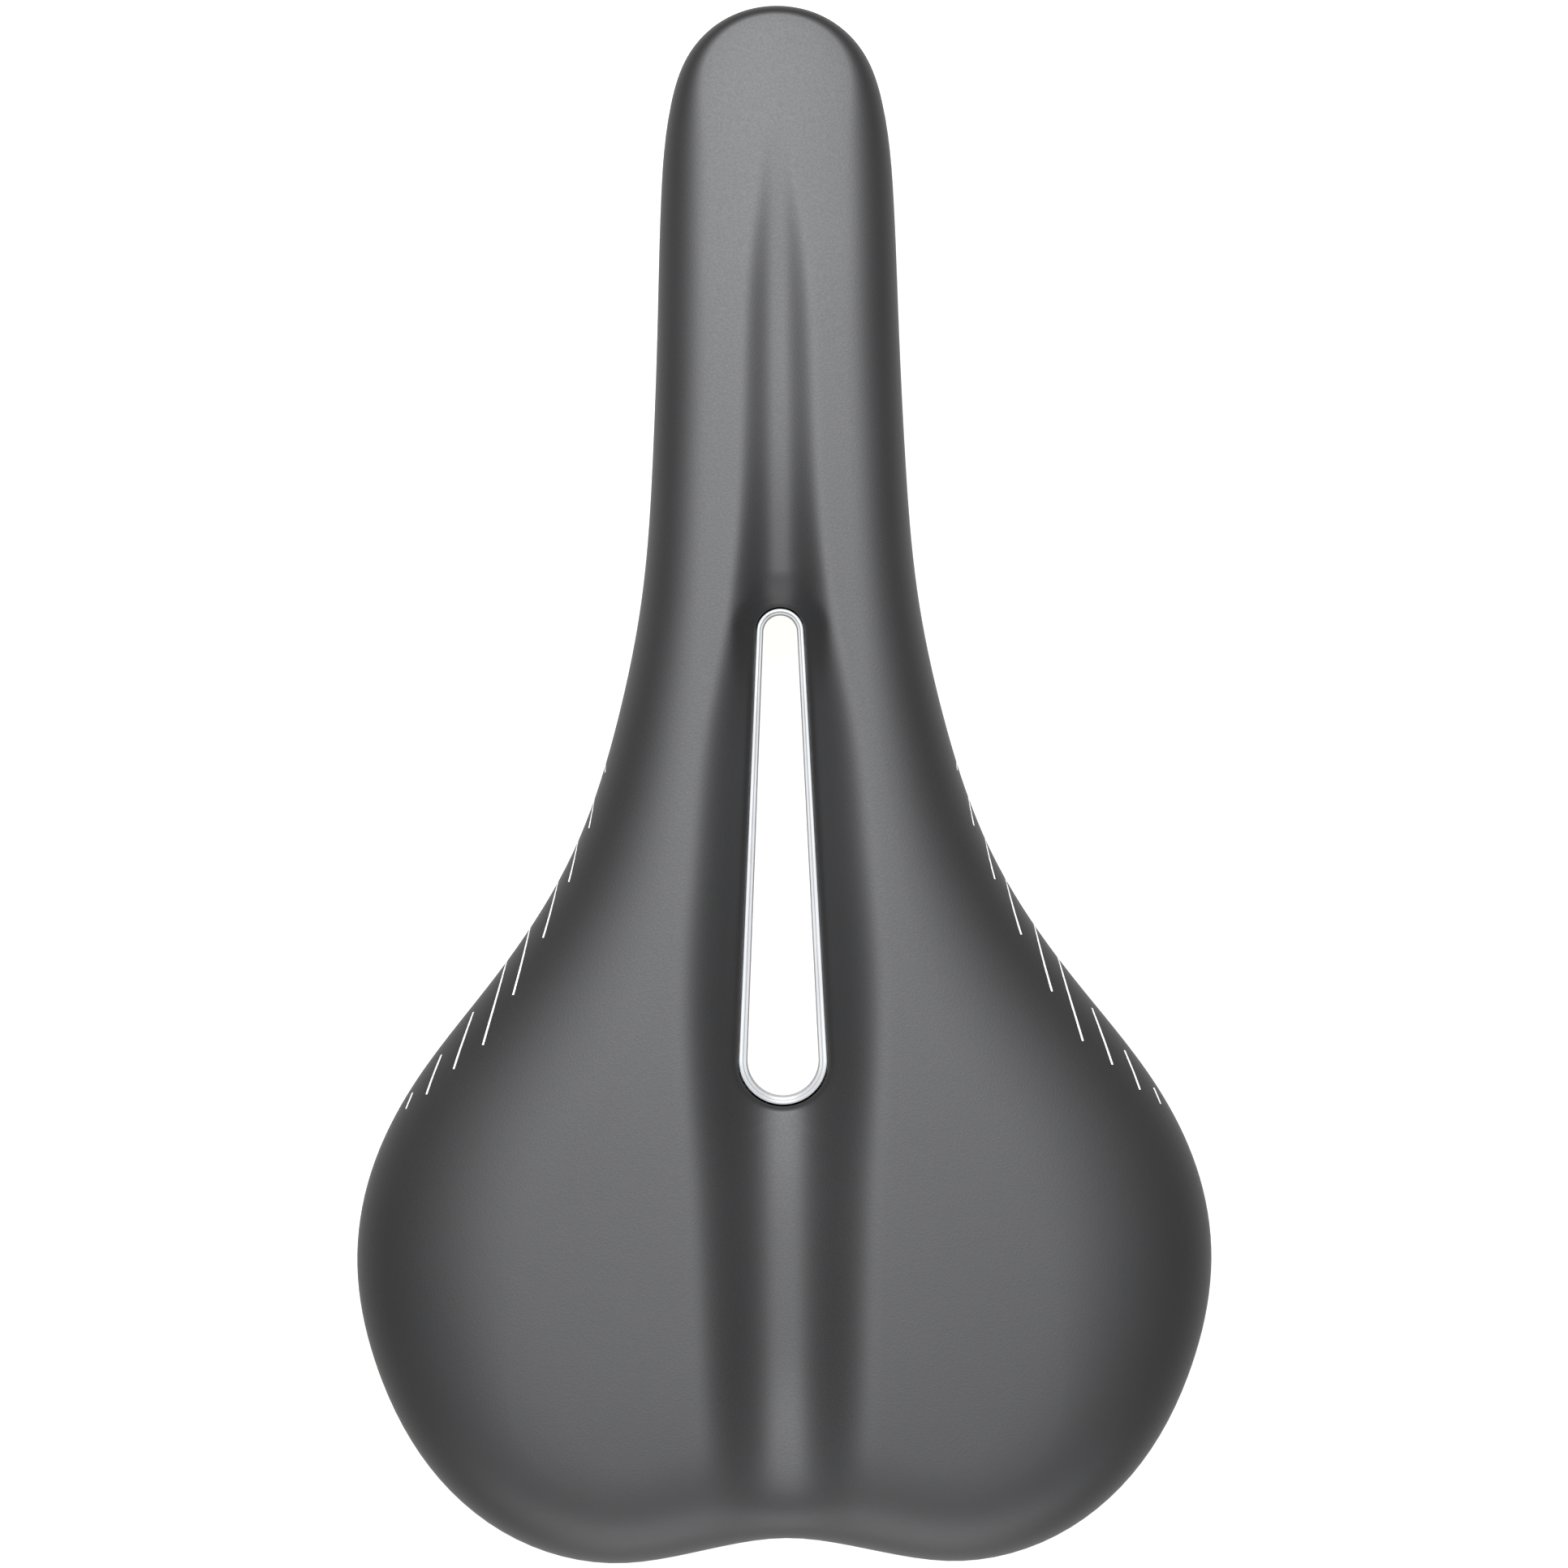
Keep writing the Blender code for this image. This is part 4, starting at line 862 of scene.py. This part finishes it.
def black_rubber():
    """Moulded rubber, dull, with a slight bloom."""
    look = Look("black_rubber", (0.028, 0.028, 0.028), 0.8)
    look.blend_color(look.spread(look.noise(160, 4), 0, 1), (0.02, 0.02, 0.02), (0.04, 0.04, 0.039))
    look.roughness(look.spread(look.noise(900, 3), 0.7, 0.9))
    look.bump((look.noise(2200, 3), 0.4, 0.06))
    return look.material


def white_print():
    """Screen-printed ink, a little uneven where it lies in the cover's grain."""
    look = Look("white_print", (0.5, 0.5, 0.5), 0.5)
    look.blend_color(look.spread(look.noise(2400, 3), 0, 1), (0.42, 0.42, 0.42), (0.62, 0.62, 0.62))
    look.roughness(look.spread(look.noise(1500, 2), 0.45, 0.6))
    return look.material


COVER_LOOK = synthetic_cover()
FOAM_LOOK = open_foam()
BASE_LOOK = moulded_nylon("base_nylon", (0.02, 0.02, 0.021), 0.45)
FITTING_LOOK = moulded_nylon("fitting_nylon", (0.026, 0.026, 0.027), 0.4)
LINER_LOOK = pale_plastic()
RAIL_LOOK = satin_steel()
RUBBER_LOOK = black_rubber()
SCREW_LOOK = plated_steel("screw_steel", (0.42, 0.42, 0.44), 0.32)
STAPLE_LOOK = plated_steel("staple_wire", (0.6, 0.6, 0.6), 0.3)
PRINT_LOOK = white_print()
TICK_LOOK = moulded_nylon("etched_tick", (0.05, 0.05, 0.05), 0.6)


def finish_piece(item, slot, *nodes):
    """A piece rides on the saddle and stands for its CAD nodes; its record slot is not used."""
    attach(item, "root")
    if nodes:
        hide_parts(*nodes)
    return item


# ---------------------------------------------------------------- cover, print, padding, base, liner

def roll_drop(offset):
    """How far the rolled edge has dropped at this distance outside the cut-out."""
    share = 1 - offset / CUTOUT_ROLL
    return CUTOUT_ROLL * (1 - math.sqrt(max(0.0, 1 - share * share)))


def cutout_wall(station):
    """Cover's wall inside the cut-out and its rolled top edge, from the bottom up."""
    edge = station.inner(0)
    bottom = shell_height_at(*station.inner(COVER / 2)) + 2 * GAP
    top = seat_height_at(edge) - roll_drop(0)
    line = [lift(edge, bottom + (top - bottom) * share)[0] for share in np.linspace(0, 1, 6)[:-1]]
    for angle in np.linspace(0, math.pi / 2, 9):
        offset = CUTOUT_ROLL * (1 - math.cos(angle))
        point = station.inner(offset)
        line.append(lift(point, seat_height_at(point) - roll_drop(offset))[0])
    return np.array(line)


def make_cover():
    """The skin: top, skirt, turned-under flange and the rolled edge inside the cut-out."""
    mesh = bmesh.new()
    rows = []
    for station in STATIONS:
        side = skirt_section(station, np.linspace(0, 1, 7)[1:])
        rows.append(np.concatenate((seat_section(station, CUTOUT_ROLL), side,
                                    flange_section(station))))
    add_grid(mesh, rows)
    add_grid(mesh, [cutout_wall(station) for station in CUTOUT_STATIONS])
    close_middle(mesh)
    cover = to_object("saddle_cover", mesh, COVER_LOOK)
    add_mirror(cover)
    add_thickness(cover, COVER)
    return finish_piece(settle(cover, 50), "cover", "cover")


def cover_point(share, inset):
    """Point on the cover's side: above the widest line for inset > 0, down the wall below 0."""
    station = Station("flank", 0.0, share)
    if inset >= 0:
        point = station.at(inset)
        return lift(point, seat_height(point[None, :], np.array([inset])))[0]
    return skirt_section(station, (-inset / wall_height(station),))[0]


def stripe_ring(share, inset, along):
    """Four corners round a printed line at one of its points."""
    middle = cover_point(share, inset)
    step = 0.02 if inset >= 0 else -0.02
    across = (cover_point(share, inset + step) - middle) * np.sign(step)
    ahead = cover_point(share + SHARE_STEP, inset) - middle
    out = np.cross(across, ahead)
    out = out / np.linalg.norm(out) * (1 if out[2] + out[0] * np.sign(middle[0]) > 0 else -1)
    side = np.cross(out, along)
    side = side / np.linalg.norm(side) * STRIPE_WIDTH / 2
    return [middle + side - out * STRIPE_SUNK, middle + side + out * STRIPE_PROUD,
            middle - side + out * STRIPE_PROUD, middle - side - out * STRIPE_SUNK]


def make_stripes():
    """Printed hairlines that come up the side wall and run back over the edge."""
    mesh = bmesh.new()
    for crossing, end, first, last in STRIPES:
        start_share, end_share = outline_share(crossing), outline_share(end)
        slope = (end_share - start_share) / last
        spacing = np.linspace(0, 1, STRIPE_POINTS) ** STRIPE_BUNCHING
        insets = first + (last - first) * spacing
        if first == 0:
            drop = min(STRIPE_DROP, STRIPE_WALL * wall_height(Station("flank", 0.0, start_share)))
            insets = np.concatenate((np.linspace(-drop, 0, 9)[:-1], insets))
        shares = start_share + slope * np.maximum(insets, 0)
        middles = [cover_point(share, inset) for share, inset in zip(shares, insets)]
        rings = []
        for i, (share, inset) in enumerate(zip(shares, insets)):
            along = direction_at(middles, i)
            rings.append(stripe_ring(share, inset, along))
        add_rings(mesh, rings)
    close_ends(mesh)
    stripes = to_object("printed_lines_right", mesh, PRINT_LOOK)
    finish_piece(stripes, "cover")
    finish_piece(mirrored_copy(stripes, "printed_lines_left"), "cover")


def make_padding():
    """Foam between the cover and the base."""
    hole = COVER + FOAM_GAP
    top = [np.concatenate((seat_section(station, hole),
                           skirt_section(station, np.linspace(0, 0.7, 5)[1:])))
           for station in STATIONS]
    top = offset_grid(top, -(COVER + GAP))
    bottom = offset_grid([shell_section(station, hole) for station in STATIONS], FOAM_GAP)
    mesh = bmesh.new()
    add_grid(mesh, top)
    add_grid(mesh, bottom, flip=True)
    add_grid(mesh, [(upper[-1], lower[-1]) for upper, lower in zip(top, bottom)])
    first = STATIONS.index(CUTOUT_STATIONS[0])
    walls = range(first, first + len(CUTOUT_STATIONS))
    add_grid(mesh, [(bottom[i][0], top[i][0]) for i in walls])
    close_middle(mesh)
    padding = to_object("foam_padding", mesh, FOAM_LOOK)
    add_mirror(padding)
    padding = finish_piece(settle(padding, 50), "foam", "padding")


def rib(name, path, width, bottom=None):
    """Stiffening rib: its top lies inside the base's wall, its foot is level or follows it."""
    middles = []
    for (x0, b0), (x1, b1) in zip(path, path[1:]):
        count = max(1, round(math.dist((x0, b0), (x1, b1)) / RIB_STEP))
        middles += [np.array((x0 + (x1 - x0) * i / count, b0 + (b1 - b0) * i / count))
                    for i in range(count)]
    middles.append(np.array(path[-1], float))
    mesh = bmesh.new()
    rings = []
    for i, point in enumerate(middles):
        along = direction_at(middles, i)
        across = np.array((along[1], -along[0])) / np.linalg.norm(along) * width / 2
        foot = shell_height_at(*point) - SHELL - RIB_HEIGHT if bottom is None else bottom
        left, right = point - across, point + across
        ease = across / np.linalg.norm(across) * RIB_CHAMFER
        ring = [lift(right, shell_height_at(*right) - SHELL / 2)[0],
                lift(left, shell_height_at(*left) - SHELL / 2)[0],
                lift(left, foot + RIB_CHAMFER)[0], lift(left + ease, foot)[0],
                lift(right - ease, foot)[0], lift(right, foot + RIB_CHAMFER)[0]]
        rings.append(ring)
    add_rings(mesh, rings)
    close_ends(mesh)
    return to_object(name, mesh, BASE_LOOK)


def make_base_shell(sockets):
    """Nylon base with its opening, ribs, nose seat and screw bosses."""
    mesh = bmesh.new()
    add_grid(mesh, [shell_section(station, SHELL_HOLE) for station in STATIONS])
    close_middle(mesh)
    shell = to_object("nylon_base", mesh, BASE_LOOK)
    add_mirror(shell)
    add_thickness(shell, SHELL)
    added = [rib("nose_seat", NOSE_SEAT, NOSE_SEAT_WIDTH, RAIL_LOOP_Z + RAIL_RADIUS + GAP)]
    for side, sign in (("right", 1), ("left", -1)):
        path = [(sign * x, back) for x, back in LONG_RIB]
        added.append(rib(f"rib_long_{side}", path, RIB_WIDTH))
        path = [(sign * x, back) for x, back in WING_RIB]
        added.append(rib(f"rib_wing_{side}", path, RIB_WIDTH))
    for label, (x, back) in (("front", FRONT_CROSS_RIB), ("rear", REAR_CROSS_RIB)):
        added.append(rib(f"rib_across_{label}", [(-x, back), (x, back)], RIB_WIDTH))
    hole = SCREW_SHANK + GAP
    bosses, holes = [], []
    for _, y in CLIP_SCREWS:
        bosses.append((BOSS_RADIUS, CLIP_TOP + GAP, NOSE_BOSS_TOP, (0, y)))
        holes.append((hole, CLIP_TOP - OVERRUN, NOSE_HOLE_TOP, (0, y)))
    for x, y in sockets.values():
        inside = shell_height_at(abs(x), NOSE_TO_CLAMP - y) - SHELL / 2
        bosses.append((SOCKET_BOSS_RADIUS, PLATE_TOP + GAP, inside, (x, y)))
        holes.append((hole, PLATE_TOP - OVERRUN, inside - SOCKET_HOLE_ROOF, (x, y)))
    added.append(make_posts("bosses", bosses, BASE_LOOK))
    for part in added:
        add_boolean(shell, part, "UNION")
    add_boolean(shell, make_posts("screw_holes", holes, BASE_LOOK))
    return finish_piece(settle(shell, 40), "base", "base_shell")


def make_liner():
    """Pale collar inside the cut-out: rounded top, a fine step inside it, a lip below the base."""
    rows = []
    for station in CUTOUT_STATIONS:
        turn = station.cutout_turn
        wall = LINER_FRONT_WALL + (LINER_REAR_WALL - LINER_FRONT_WALL) * min(max(turn - 1, 0), 1)
        edge = station.inner(0)
        top = seat_height_at(edge) - CUTOUT_ROLL - LINER_DROP
        under = shell_height_at(*station.inner(LINER_LIP / 2)) - SHELL - LINER_GAP
        bottom = under - LINER_LIP_THICKNESS
        outer, inner = -GAP, -GAP - wall
        section = [(outer, under), (LINER_LIP - LINER_LIP_EDGE, under),
                   (LINER_LIP, under - LINER_LIP_EDGE), (LINER_LIP, bottom + LINER_LIP_EDGE),
                   (LINER_LIP - LINER_LIP_EDGE, bottom)]
        section += [(inner + out, bottom + up) for out, up in LINER_FOOT]
        section += [(inner + out + share * wall, top - down) for out, share, down in LINER_CREST]
        section += [(outer - back_in, top - down) for back_in, down in LINER_SHOULDER]
        section.append(section[0])
        rows.append([lift(station.inner(offset), height)[0] for offset, height in section])
    mesh = bmesh.new()
    add_grid(mesh, rows, flip=True)
    close_middle(mesh)
    liner = to_object("cutout_ring", mesh, LINER_LOOK)
    add_mirror(liner)
    return finish_piece(settle(liner, 40), "liner", "cutout_liner")


# ---------------------------------------------------------------- rails and what holds them

def rail_path():
    """Right rear end, clamp zone, front bend, nose loop and back down the left side."""
    loop_start = (RAIL_LOOP_RADIUS, RAIL_LOOP_Y, RAIL_LOOP_Z)
    corners = [RAIL_END, RAIL_REAR_BEND, RAIL_FRONT_BEND, RAIL_SPREAD, RAIL_NECK, loop_start]
    right = rounded_path(corners, RAIL_BENDS)
    loop = [Vector((RAIL_LOOP_RADIUS * math.cos(a), RAIL_LOOP_Y + RAIL_LOOP_RADIUS * math.sin(a),
                    RAIL_LOOP_Z)) for a in np.linspace(0, math.pi, 25)[1:-1]]
    left = [Vector((-p.x, p.y, p.z)) for p in reversed(right)]
    return right + loop + left


def make_rails():
    rails = make_tube("saddle_rails", rail_path(), RAIL_RADIUS, RAIL_LOOK)
    finish_piece(rails, "rail", "rails")


def make_ticks():
    """Etched setting marks on the outer side of each rail in the clamp zone."""
    low, high = RAIL_RADIUS - TICK_SUNK, RAIL_RADIUS + TICK_PROUD
    mesh = bmesh.new()
    for i in range(TICK_COUNT):
        y = (i - (TICK_COUNT - 1) / 2) * TICK_PITCH
        reach = LONG_TICK_REACH if i % LONG_TICK_EVERY == 0 else TICK_REACH
        for sign in (1, -1):
            rings = []
            for angle in np.radians(np.linspace(-reach, reach, 15)):
                out = np.array((sign * math.cos(angle), 0, math.sin(angle)))
                middle = np.array((sign * RAIL_HALF_SPACING, y, 0))
                ring = [middle + out * radius + np.array((0, side * TICK_WIDTH / 2, 0))
                        for radius, side in ((low, -1), (high, -1), (high, 1), (low, 1))]
                rings.append(ring)
            add_rings(mesh, rings)
    close_ends(mesh)
    finish_piece(to_object("rail_setting_marks", mesh, TICK_LOOK), "rail")


def screw_profile(neck, length):
    """Half section of a pan-head screw with its head down, from the tip to the head's face."""
    tip = neck + length
    low = neck - SCREW_HEAD_HEIGHT
    points = [(0, tip), (SCREW_TIP, tip)]
    turns = int((length - SCREW_POINT) / THREAD_PITCH) - 1
    for i in range(turns * 2):
        dip = THREAD_DEPTH if i % 2 else 0.0
        points.append((SCREW_SHANK - dip, tip - SCREW_POINT - THREAD_PITCH / 2 * i))
    points += [(SCREW_SHANK, neck), (SCREW_HEAD - SCREW_EDGE, neck),
               (SCREW_HEAD, neck - SCREW_EDGE)]
    for angle in np.linspace(0, math.pi / 2, 8):
        points.append((SCREW_HEAD - SCREW_ROUND * (1 - math.cos(angle)),
                       low + SCREW_ROUND * (1 - math.sin(angle))))
    points.append((0, low))
    return points


def make_screw(name, at, neck, length, node):
    screw = make_turned(name, screw_profile(neck, length), SCREW_LOOK)
    low = neck - SCREW_HEAD_HEIGHT
    radius = SCREW_DRIVE / math.cos(math.pi / 6)
    socket = (radius, low - OVERRUN, low + SCREW_DRIVE_DEPTH, (0, 0))
    drive = make_posts(f"{name}_drive", [socket], SCREW_LOOK, 6)
    add_boolean(screw, drive)
    screw = settle(screw)
    screw.location = (at[0] * MM, at[1] * MM, 0)
    finish_piece(screw, "screw", node)


def make_nose_clip():
    """Block under the nose that traps the rail loop against the base."""
    arc_middle = CLIP_FRONT - CLIP_HALF_WIDTH
    outline_points = [(CLIP_HALF_WIDTH * math.cos(a), arc_middle + CLIP_HALF_WIDTH * math.sin(a))
                      for a in np.linspace(0, math.pi, 49)]
    outline_points += [(-CLIP_HALF_WIDTH, CLIP_REAR), (CLIP_HALF_WIDTH, CLIP_REAR)]
    level = Matrix.Translation((0, 0, (CLIP_TOP + CLIP_BOTTOM) / 2 * MM))
    clip = make_plate("rail_clip_nose", outline_points, CLIP_TOP - CLIP_BOTTOM, FITTING_LOOK,
                      level, CLIP_EDGE)
    add_boolean(clip, make_tube("clip_groove", rail_path(), RAIL_RADIUS + GAP, FITTING_LOOK))
    head_top = CLIP_BOTTOM + SCREW_HEAD_HEIGHT
    add_boolean(clip, make_posts("clip_holes", [
        (SCREW_SHANK + GAP, CLIP_BOTTOM + OVERRUN, CLIP_TOP + OVERRUN, (0, y))
        for _, y in CLIP_SCREWS], FITTING_LOOK))
    add_boolean(clip, make_posts("clip_counterbores", [
        (SCREW_HEAD + GAP, CLIP_BOTTOM - OVERRUN, head_top + GAP, (0, y))
        for _, y in CLIP_SCREWS], FITTING_LOOK))
    finish_piece(settle(clip), "fitting", "nose_clip")
    for label, y in CLIP_SCREWS:
        make_screw(f"nose_screw_{label}", (0, y), head_top, NOSE_SCREW_LENGTH,
                   f"nose_clip_screw_{label}")


def rail_end_frame():
    """Rail end, its direction, level heading and sideways direction, right side."""
    end, before = Vector(RAIL_END), Vector(RAIL_REAR_BEND)
    direction = (end - before).normalized()
    heading = Vector((direction.x, direction.y, 0)).normalized()
    side = heading.cross(Vector((0, 0, 1)))
    return end, direction, heading, side


def socket_screw_places():
    """Plan places of the four socket screws, by name."""
    end, _, heading, side = rail_end_frame()
    places = {}
    for label, sign in (("inner", 1), ("outer", -1)):
        spot = end + heading * PLATE_OFFSET + side * SOCKET_SCREW_OFFSET * sign
        places[f"right_{label}"] = (spot.x, spot.y)
        places[f"left_{label}"] = (-spot.x, spot.y)
    return places


def end_matrix():
    """Local Z along the rail end, origin at the end's centre."""
    end, direction, _, _ = rail_end_frame()
    turn = Vector((0, 0, 1)).rotation_difference(direction).to_matrix().to_4x4()
    return Matrix.Translation(end * MM) @ turn


def make_sockets():
    """Rear sockets: a plate under the base and a body that takes the rail end."""
    end, direction, heading, side = rail_end_frame()
    slope = direction.z / math.hypot(direction.x, direction.y)

    def level(run):
        return end.z + slope * run

    front = -SOCKET_DEPTH * math.cos(math.atan(slope))
    rise = SOCKET_HALF_HEIGHT * math.cos(math.atan(slope))
    shift = rise * slope
    inside_plate = PLATE_TOP - OVERRUN
    body = [(front + shift, level(front) - rise), (front - shift, level(front) + rise)]
    body += [(run, inside_plate) for run in SOCKET_TOP]
    body += SOCKET_HEEL
    turn = Matrix((heading, (0, 0, 1), side)).transposed().to_4x4()
    upright = Matrix.Translation(Vector((end.x, end.y, 0)) * MM) @ turn
    socket = make_plate("rail_socket_right", body, SOCKET_WIDTH, FITTING_LOOK, upright,
                        SOCKET_EDGE)
    mesh = bmesh.new()
    bmesh.ops.create_cube(mesh, size=1)
    size = Matrix.Diagonal((PLATE_LENGTH * MM, PLATE_THICKNESS * MM, PLATE_WIDTH * MM, 1))
    middle = Vector((PLATE_OFFSET, PLATE_TOP - PLATE_THICKNESS / 2, 0)) * MM
    bmesh.ops.transform(mesh, matrix=Matrix.Translation(middle) @ size, verts=mesh.verts)
    bmesh.ops.recalc_face_normals(mesh, faces=mesh.faces)
    plate = to_object("socket_plate", mesh, FITTING_LOOK)
    plate.matrix_world = upright
    add_bevel(plate, PLATE_EDGE)
    add_boolean(socket, plate, "UNION")
    wide = BUSHING_RADIUS + GAP
    bore = make_turned("socket_bore", [(0, BORE_STOP), (wide, BORE_STOP), (wide, -BORE_LENGTH),
                                       (0, -BORE_LENGTH)], FITTING_LOOK)
    bore.matrix_world = end_matrix()
    add_boolean(socket, bore)
    places = [place for label, place in socket_screw_places().items() if label.startswith("right")]
    add_boolean(socket, make_posts("plate_holes", [
        (SCREW_SHANK + GAP, PLATE_TOP - PLATE_HOLE_DEPTH, PLATE_TOP + OVERRUN, place)
        for place in places], FITTING_LOOK))
    socket = finish_piece(settle(socket), "fitting", "rear_socket_right")
    finish_piece(mirrored_copy(socket, "rail_socket_left"), "fitting", "rear_socket_left")


def make_bushings():
    """Rubber sleeves on the rail ends, with a collar outside the socket."""
    inner = RAIL_RADIUS + GAP
    back, neck = -BUSHING_SETBACK, -SOCKET_DEPTH - GAP
    front = neck - BUSHING_COLLAR_LENGTH
    points = [(inner, back), (BUSHING_RADIUS, back), (BUSHING_RADIUS, neck),
              (BUSHING_COLLAR - BUSHING_EDGE, neck), (BUSHING_COLLAR, neck - BUSHING_EDGE),
              (BUSHING_COLLAR, front + BUSHING_ROUND), (BUSHING_COLLAR - BUSHING_ROUND, front),
              (inner + BUSHING_EDGE, front), (inner, front + BUSHING_EDGE), (inner, back)]
    bushing = make_turned("rail_sleeve_right", points, RUBBER_LOOK)
    bushing.matrix_world = end_matrix()
    bushing = finish_piece(settle(bushing), "bushing", "rail_bushing_right")
    finish_piece(mirrored_copy(bushing, "rail_sleeve_left"), "bushing", "rail_bushing_left")


# ---------------------------------------------------------------- staples

def staple_outline():
    """Wire bent square with rounded shoulders: crown across the top, two pointed legs down."""
    half, wire, bend = STAPLE_WIDTH / 2, STAPLE_WIRE, STAPLE_BEND
    shoulder = [(half - bend + bend * math.cos(a), wire - bend + bend * math.sin(a))
                for a in np.linspace(math.pi / 2, 0, 7)]
    point = -STAPLE_LEG + STAPLE_POINT
    right = shoulder + [(half, point), (half - STAPLE_TIP, -STAPLE_LEG), (half - wire, point),
                        (half - wire, -STAPLE_CORNER), (half - wire - STAPLE_CORNER, 0)]
    return [(-x, y) for x, y in reversed(right)] + right


def make_staples():
    """Staples along both flanks, holding the cover's flange to the base."""
    depth = SHELL + FLANGE_GAP + COVER
    first = make_plate("staple_shape", staple_outline(), STAPLE_BREADTH, STAPLE_LOOK,
                       Matrix.Identity(4), STAPLE_EDGE)
    for number, back in enumerate(STAPLES, 1):
        station = Station("flank", 0.0, outline_share(back))
        _, tilt = below_shell(station, SHELL_INSET, depth)
        inset = SHELL_INSET + STAPLE_RISE * math.cos(tilt)
        spot, tilt = below_shell(station, inset, depth + STAPLE_GAP)
        inward = Vector(lift(station.at(1), 0)[0] - lift(station.at(0), 0)[0])
        out = (inward * math.sin(tilt) - Vector((0, 0, 1)) * math.cos(tilt)).normalized()
        ahead = inward.cross(Vector((0, 0, 1))).normalized()
        turn = Matrix((ahead, out, ahead.cross(out))).transposed().to_4x4()
        place = Matrix.Translation(Vector(spot) * MM) @ turn
        staple = link(f"cover_staple_right_{number:02d}", first.data, place)
        finish_piece(staple, "staple", f"staple_right_{number:02d}")
        other = mirrored_copy(staple, f"cover_staple_left_{number:02d}")
        finish_piece(other, "staple", f"staple_left_{number:02d}")
    bpy.data.objects.remove(first, do_unlink=True)


# ---------------------------------------------------------------- floor, light and camera

def table_look():
    """Pale table that glows most under the saddle, clear from below."""
    look = Look("pale_table", (0.12, 0.12, 0.12), 0.9, Specular_IOR_Level=0.1)
    look.shader.inputs["Emission Color"].default_value = GLOW_COLOR
    far = look.nodes.new("ShaderNodeVectorMath")
    far.operation = "LENGTH"
    look.links.new(look.place, far.inputs[0])
    glow = look.spread(far.outputs["Value"], GLOW_NEAR, GLOW_FAR, *GLOW_FADE)
    look.links.new(glow, look.shader.inputs["Emission Strength"])
    clear = look.nodes.new("ShaderNodeBsdfTransparent")
    mix = look.nodes.new("ShaderNodeMixShader")
    side = look.nodes.new("ShaderNodeNewGeometry")
    look.links.new(side.outputs["Backfacing"], mix.inputs["Fac"])
    look.links.new(look.shader.outputs["BSDF"], mix.inputs[1])
    look.links.new(clear.outputs["BSDF"], mix.inputs[2])
    look.links.new(mix.outputs["Shader"], look.nodes["Material Output"].inputs["Surface"])
    return look.material


def make_floor():
    """Round table that curves up into a low wall far behind the saddle."""
    flat = FLOOR_RADIUS - FLOOR_COVE
    points = [(0, 0)]
    points += [(flat + FLOOR_COVE * math.sin(a), FLOOR_COVE - FLOOR_COVE * math.cos(a))
               for a in np.linspace(0, math.pi / 2, 13)]
    points.append((FLOOR_RADIUS, FLOOR_WALL))
    floor = make_turned("floor", points, table_look(), 96)
    floor.location.z = CAD_BOX[0].z
    for polygon in floor.data.polygons:
        polygon.use_smooth = True


def make_light(name, place, aim, width, height, power):
    data = bpy.data.lights.new(name, "AREA")
    data.color = LIGHT_COLOR
    data.shape = "RECTANGLE"
    data.size, data.size_y = width, height
    data.energy = power
    lamp = link(name, data)
    lamp.location = place
    toward = Vector(aim) - Vector(place)
    lamp.rotation_euler = toward.to_track_quat("-Z", "Y").to_euler()
    lamp.visible_camera = False


def make_lights():
    for light in LIGHTS:
        make_light(*light)
    world = bpy.data.worlds.new("studio")
    world.use_nodes = True
    world.node_tree.nodes["Background"].inputs["Color"].default_value = (1, 1, 1, 1)
    world.node_tree.nodes["Background"].inputs["Strength"].default_value = WORLD_LIGHT
    bpy.context.scene.world = world


def make_camera():
    """Straight above the saddle, nose up in the picture."""
    data = bpy.data.cameras.new("camera")
    data.sensor_width = 36.0
    data.lens = data.sensor_width * (CAMERA_HEIGHT - VIEW_LEVEL) / VIEW_WIDTH
    camera = link("camera", data)
    camera.location = Vector((*VIEW_MIDDLE, CAMERA_HEIGHT)) * MM
    camera.rotation_euler = (0, 0, math.radians(-CAMERA_ROLL))
    bpy.context.scene.camera = camera
    bpy.context.scene.view_settings.view_transform = "Standard"


def make_saddle():
    places = socket_screw_places()
    make_cover()
    make_stripes()
    make_padding()
    make_base_shell(places)
    make_liner()
    make_rails()
    make_ticks()
    make_nose_clip()
    make_sockets()
    make_bushings()
    for label, place in places.items():
        make_screw(f"socket_screw_{label}", place, PLATE_TOP - PLATE_THICKNESS - GAP,
                   SOCKET_SCREW_LENGTH, f"rear_socket_screw_{label}")
    make_staples()
    remove_cutters()


make_saddle()
make_floor()
make_lights()
make_camera()
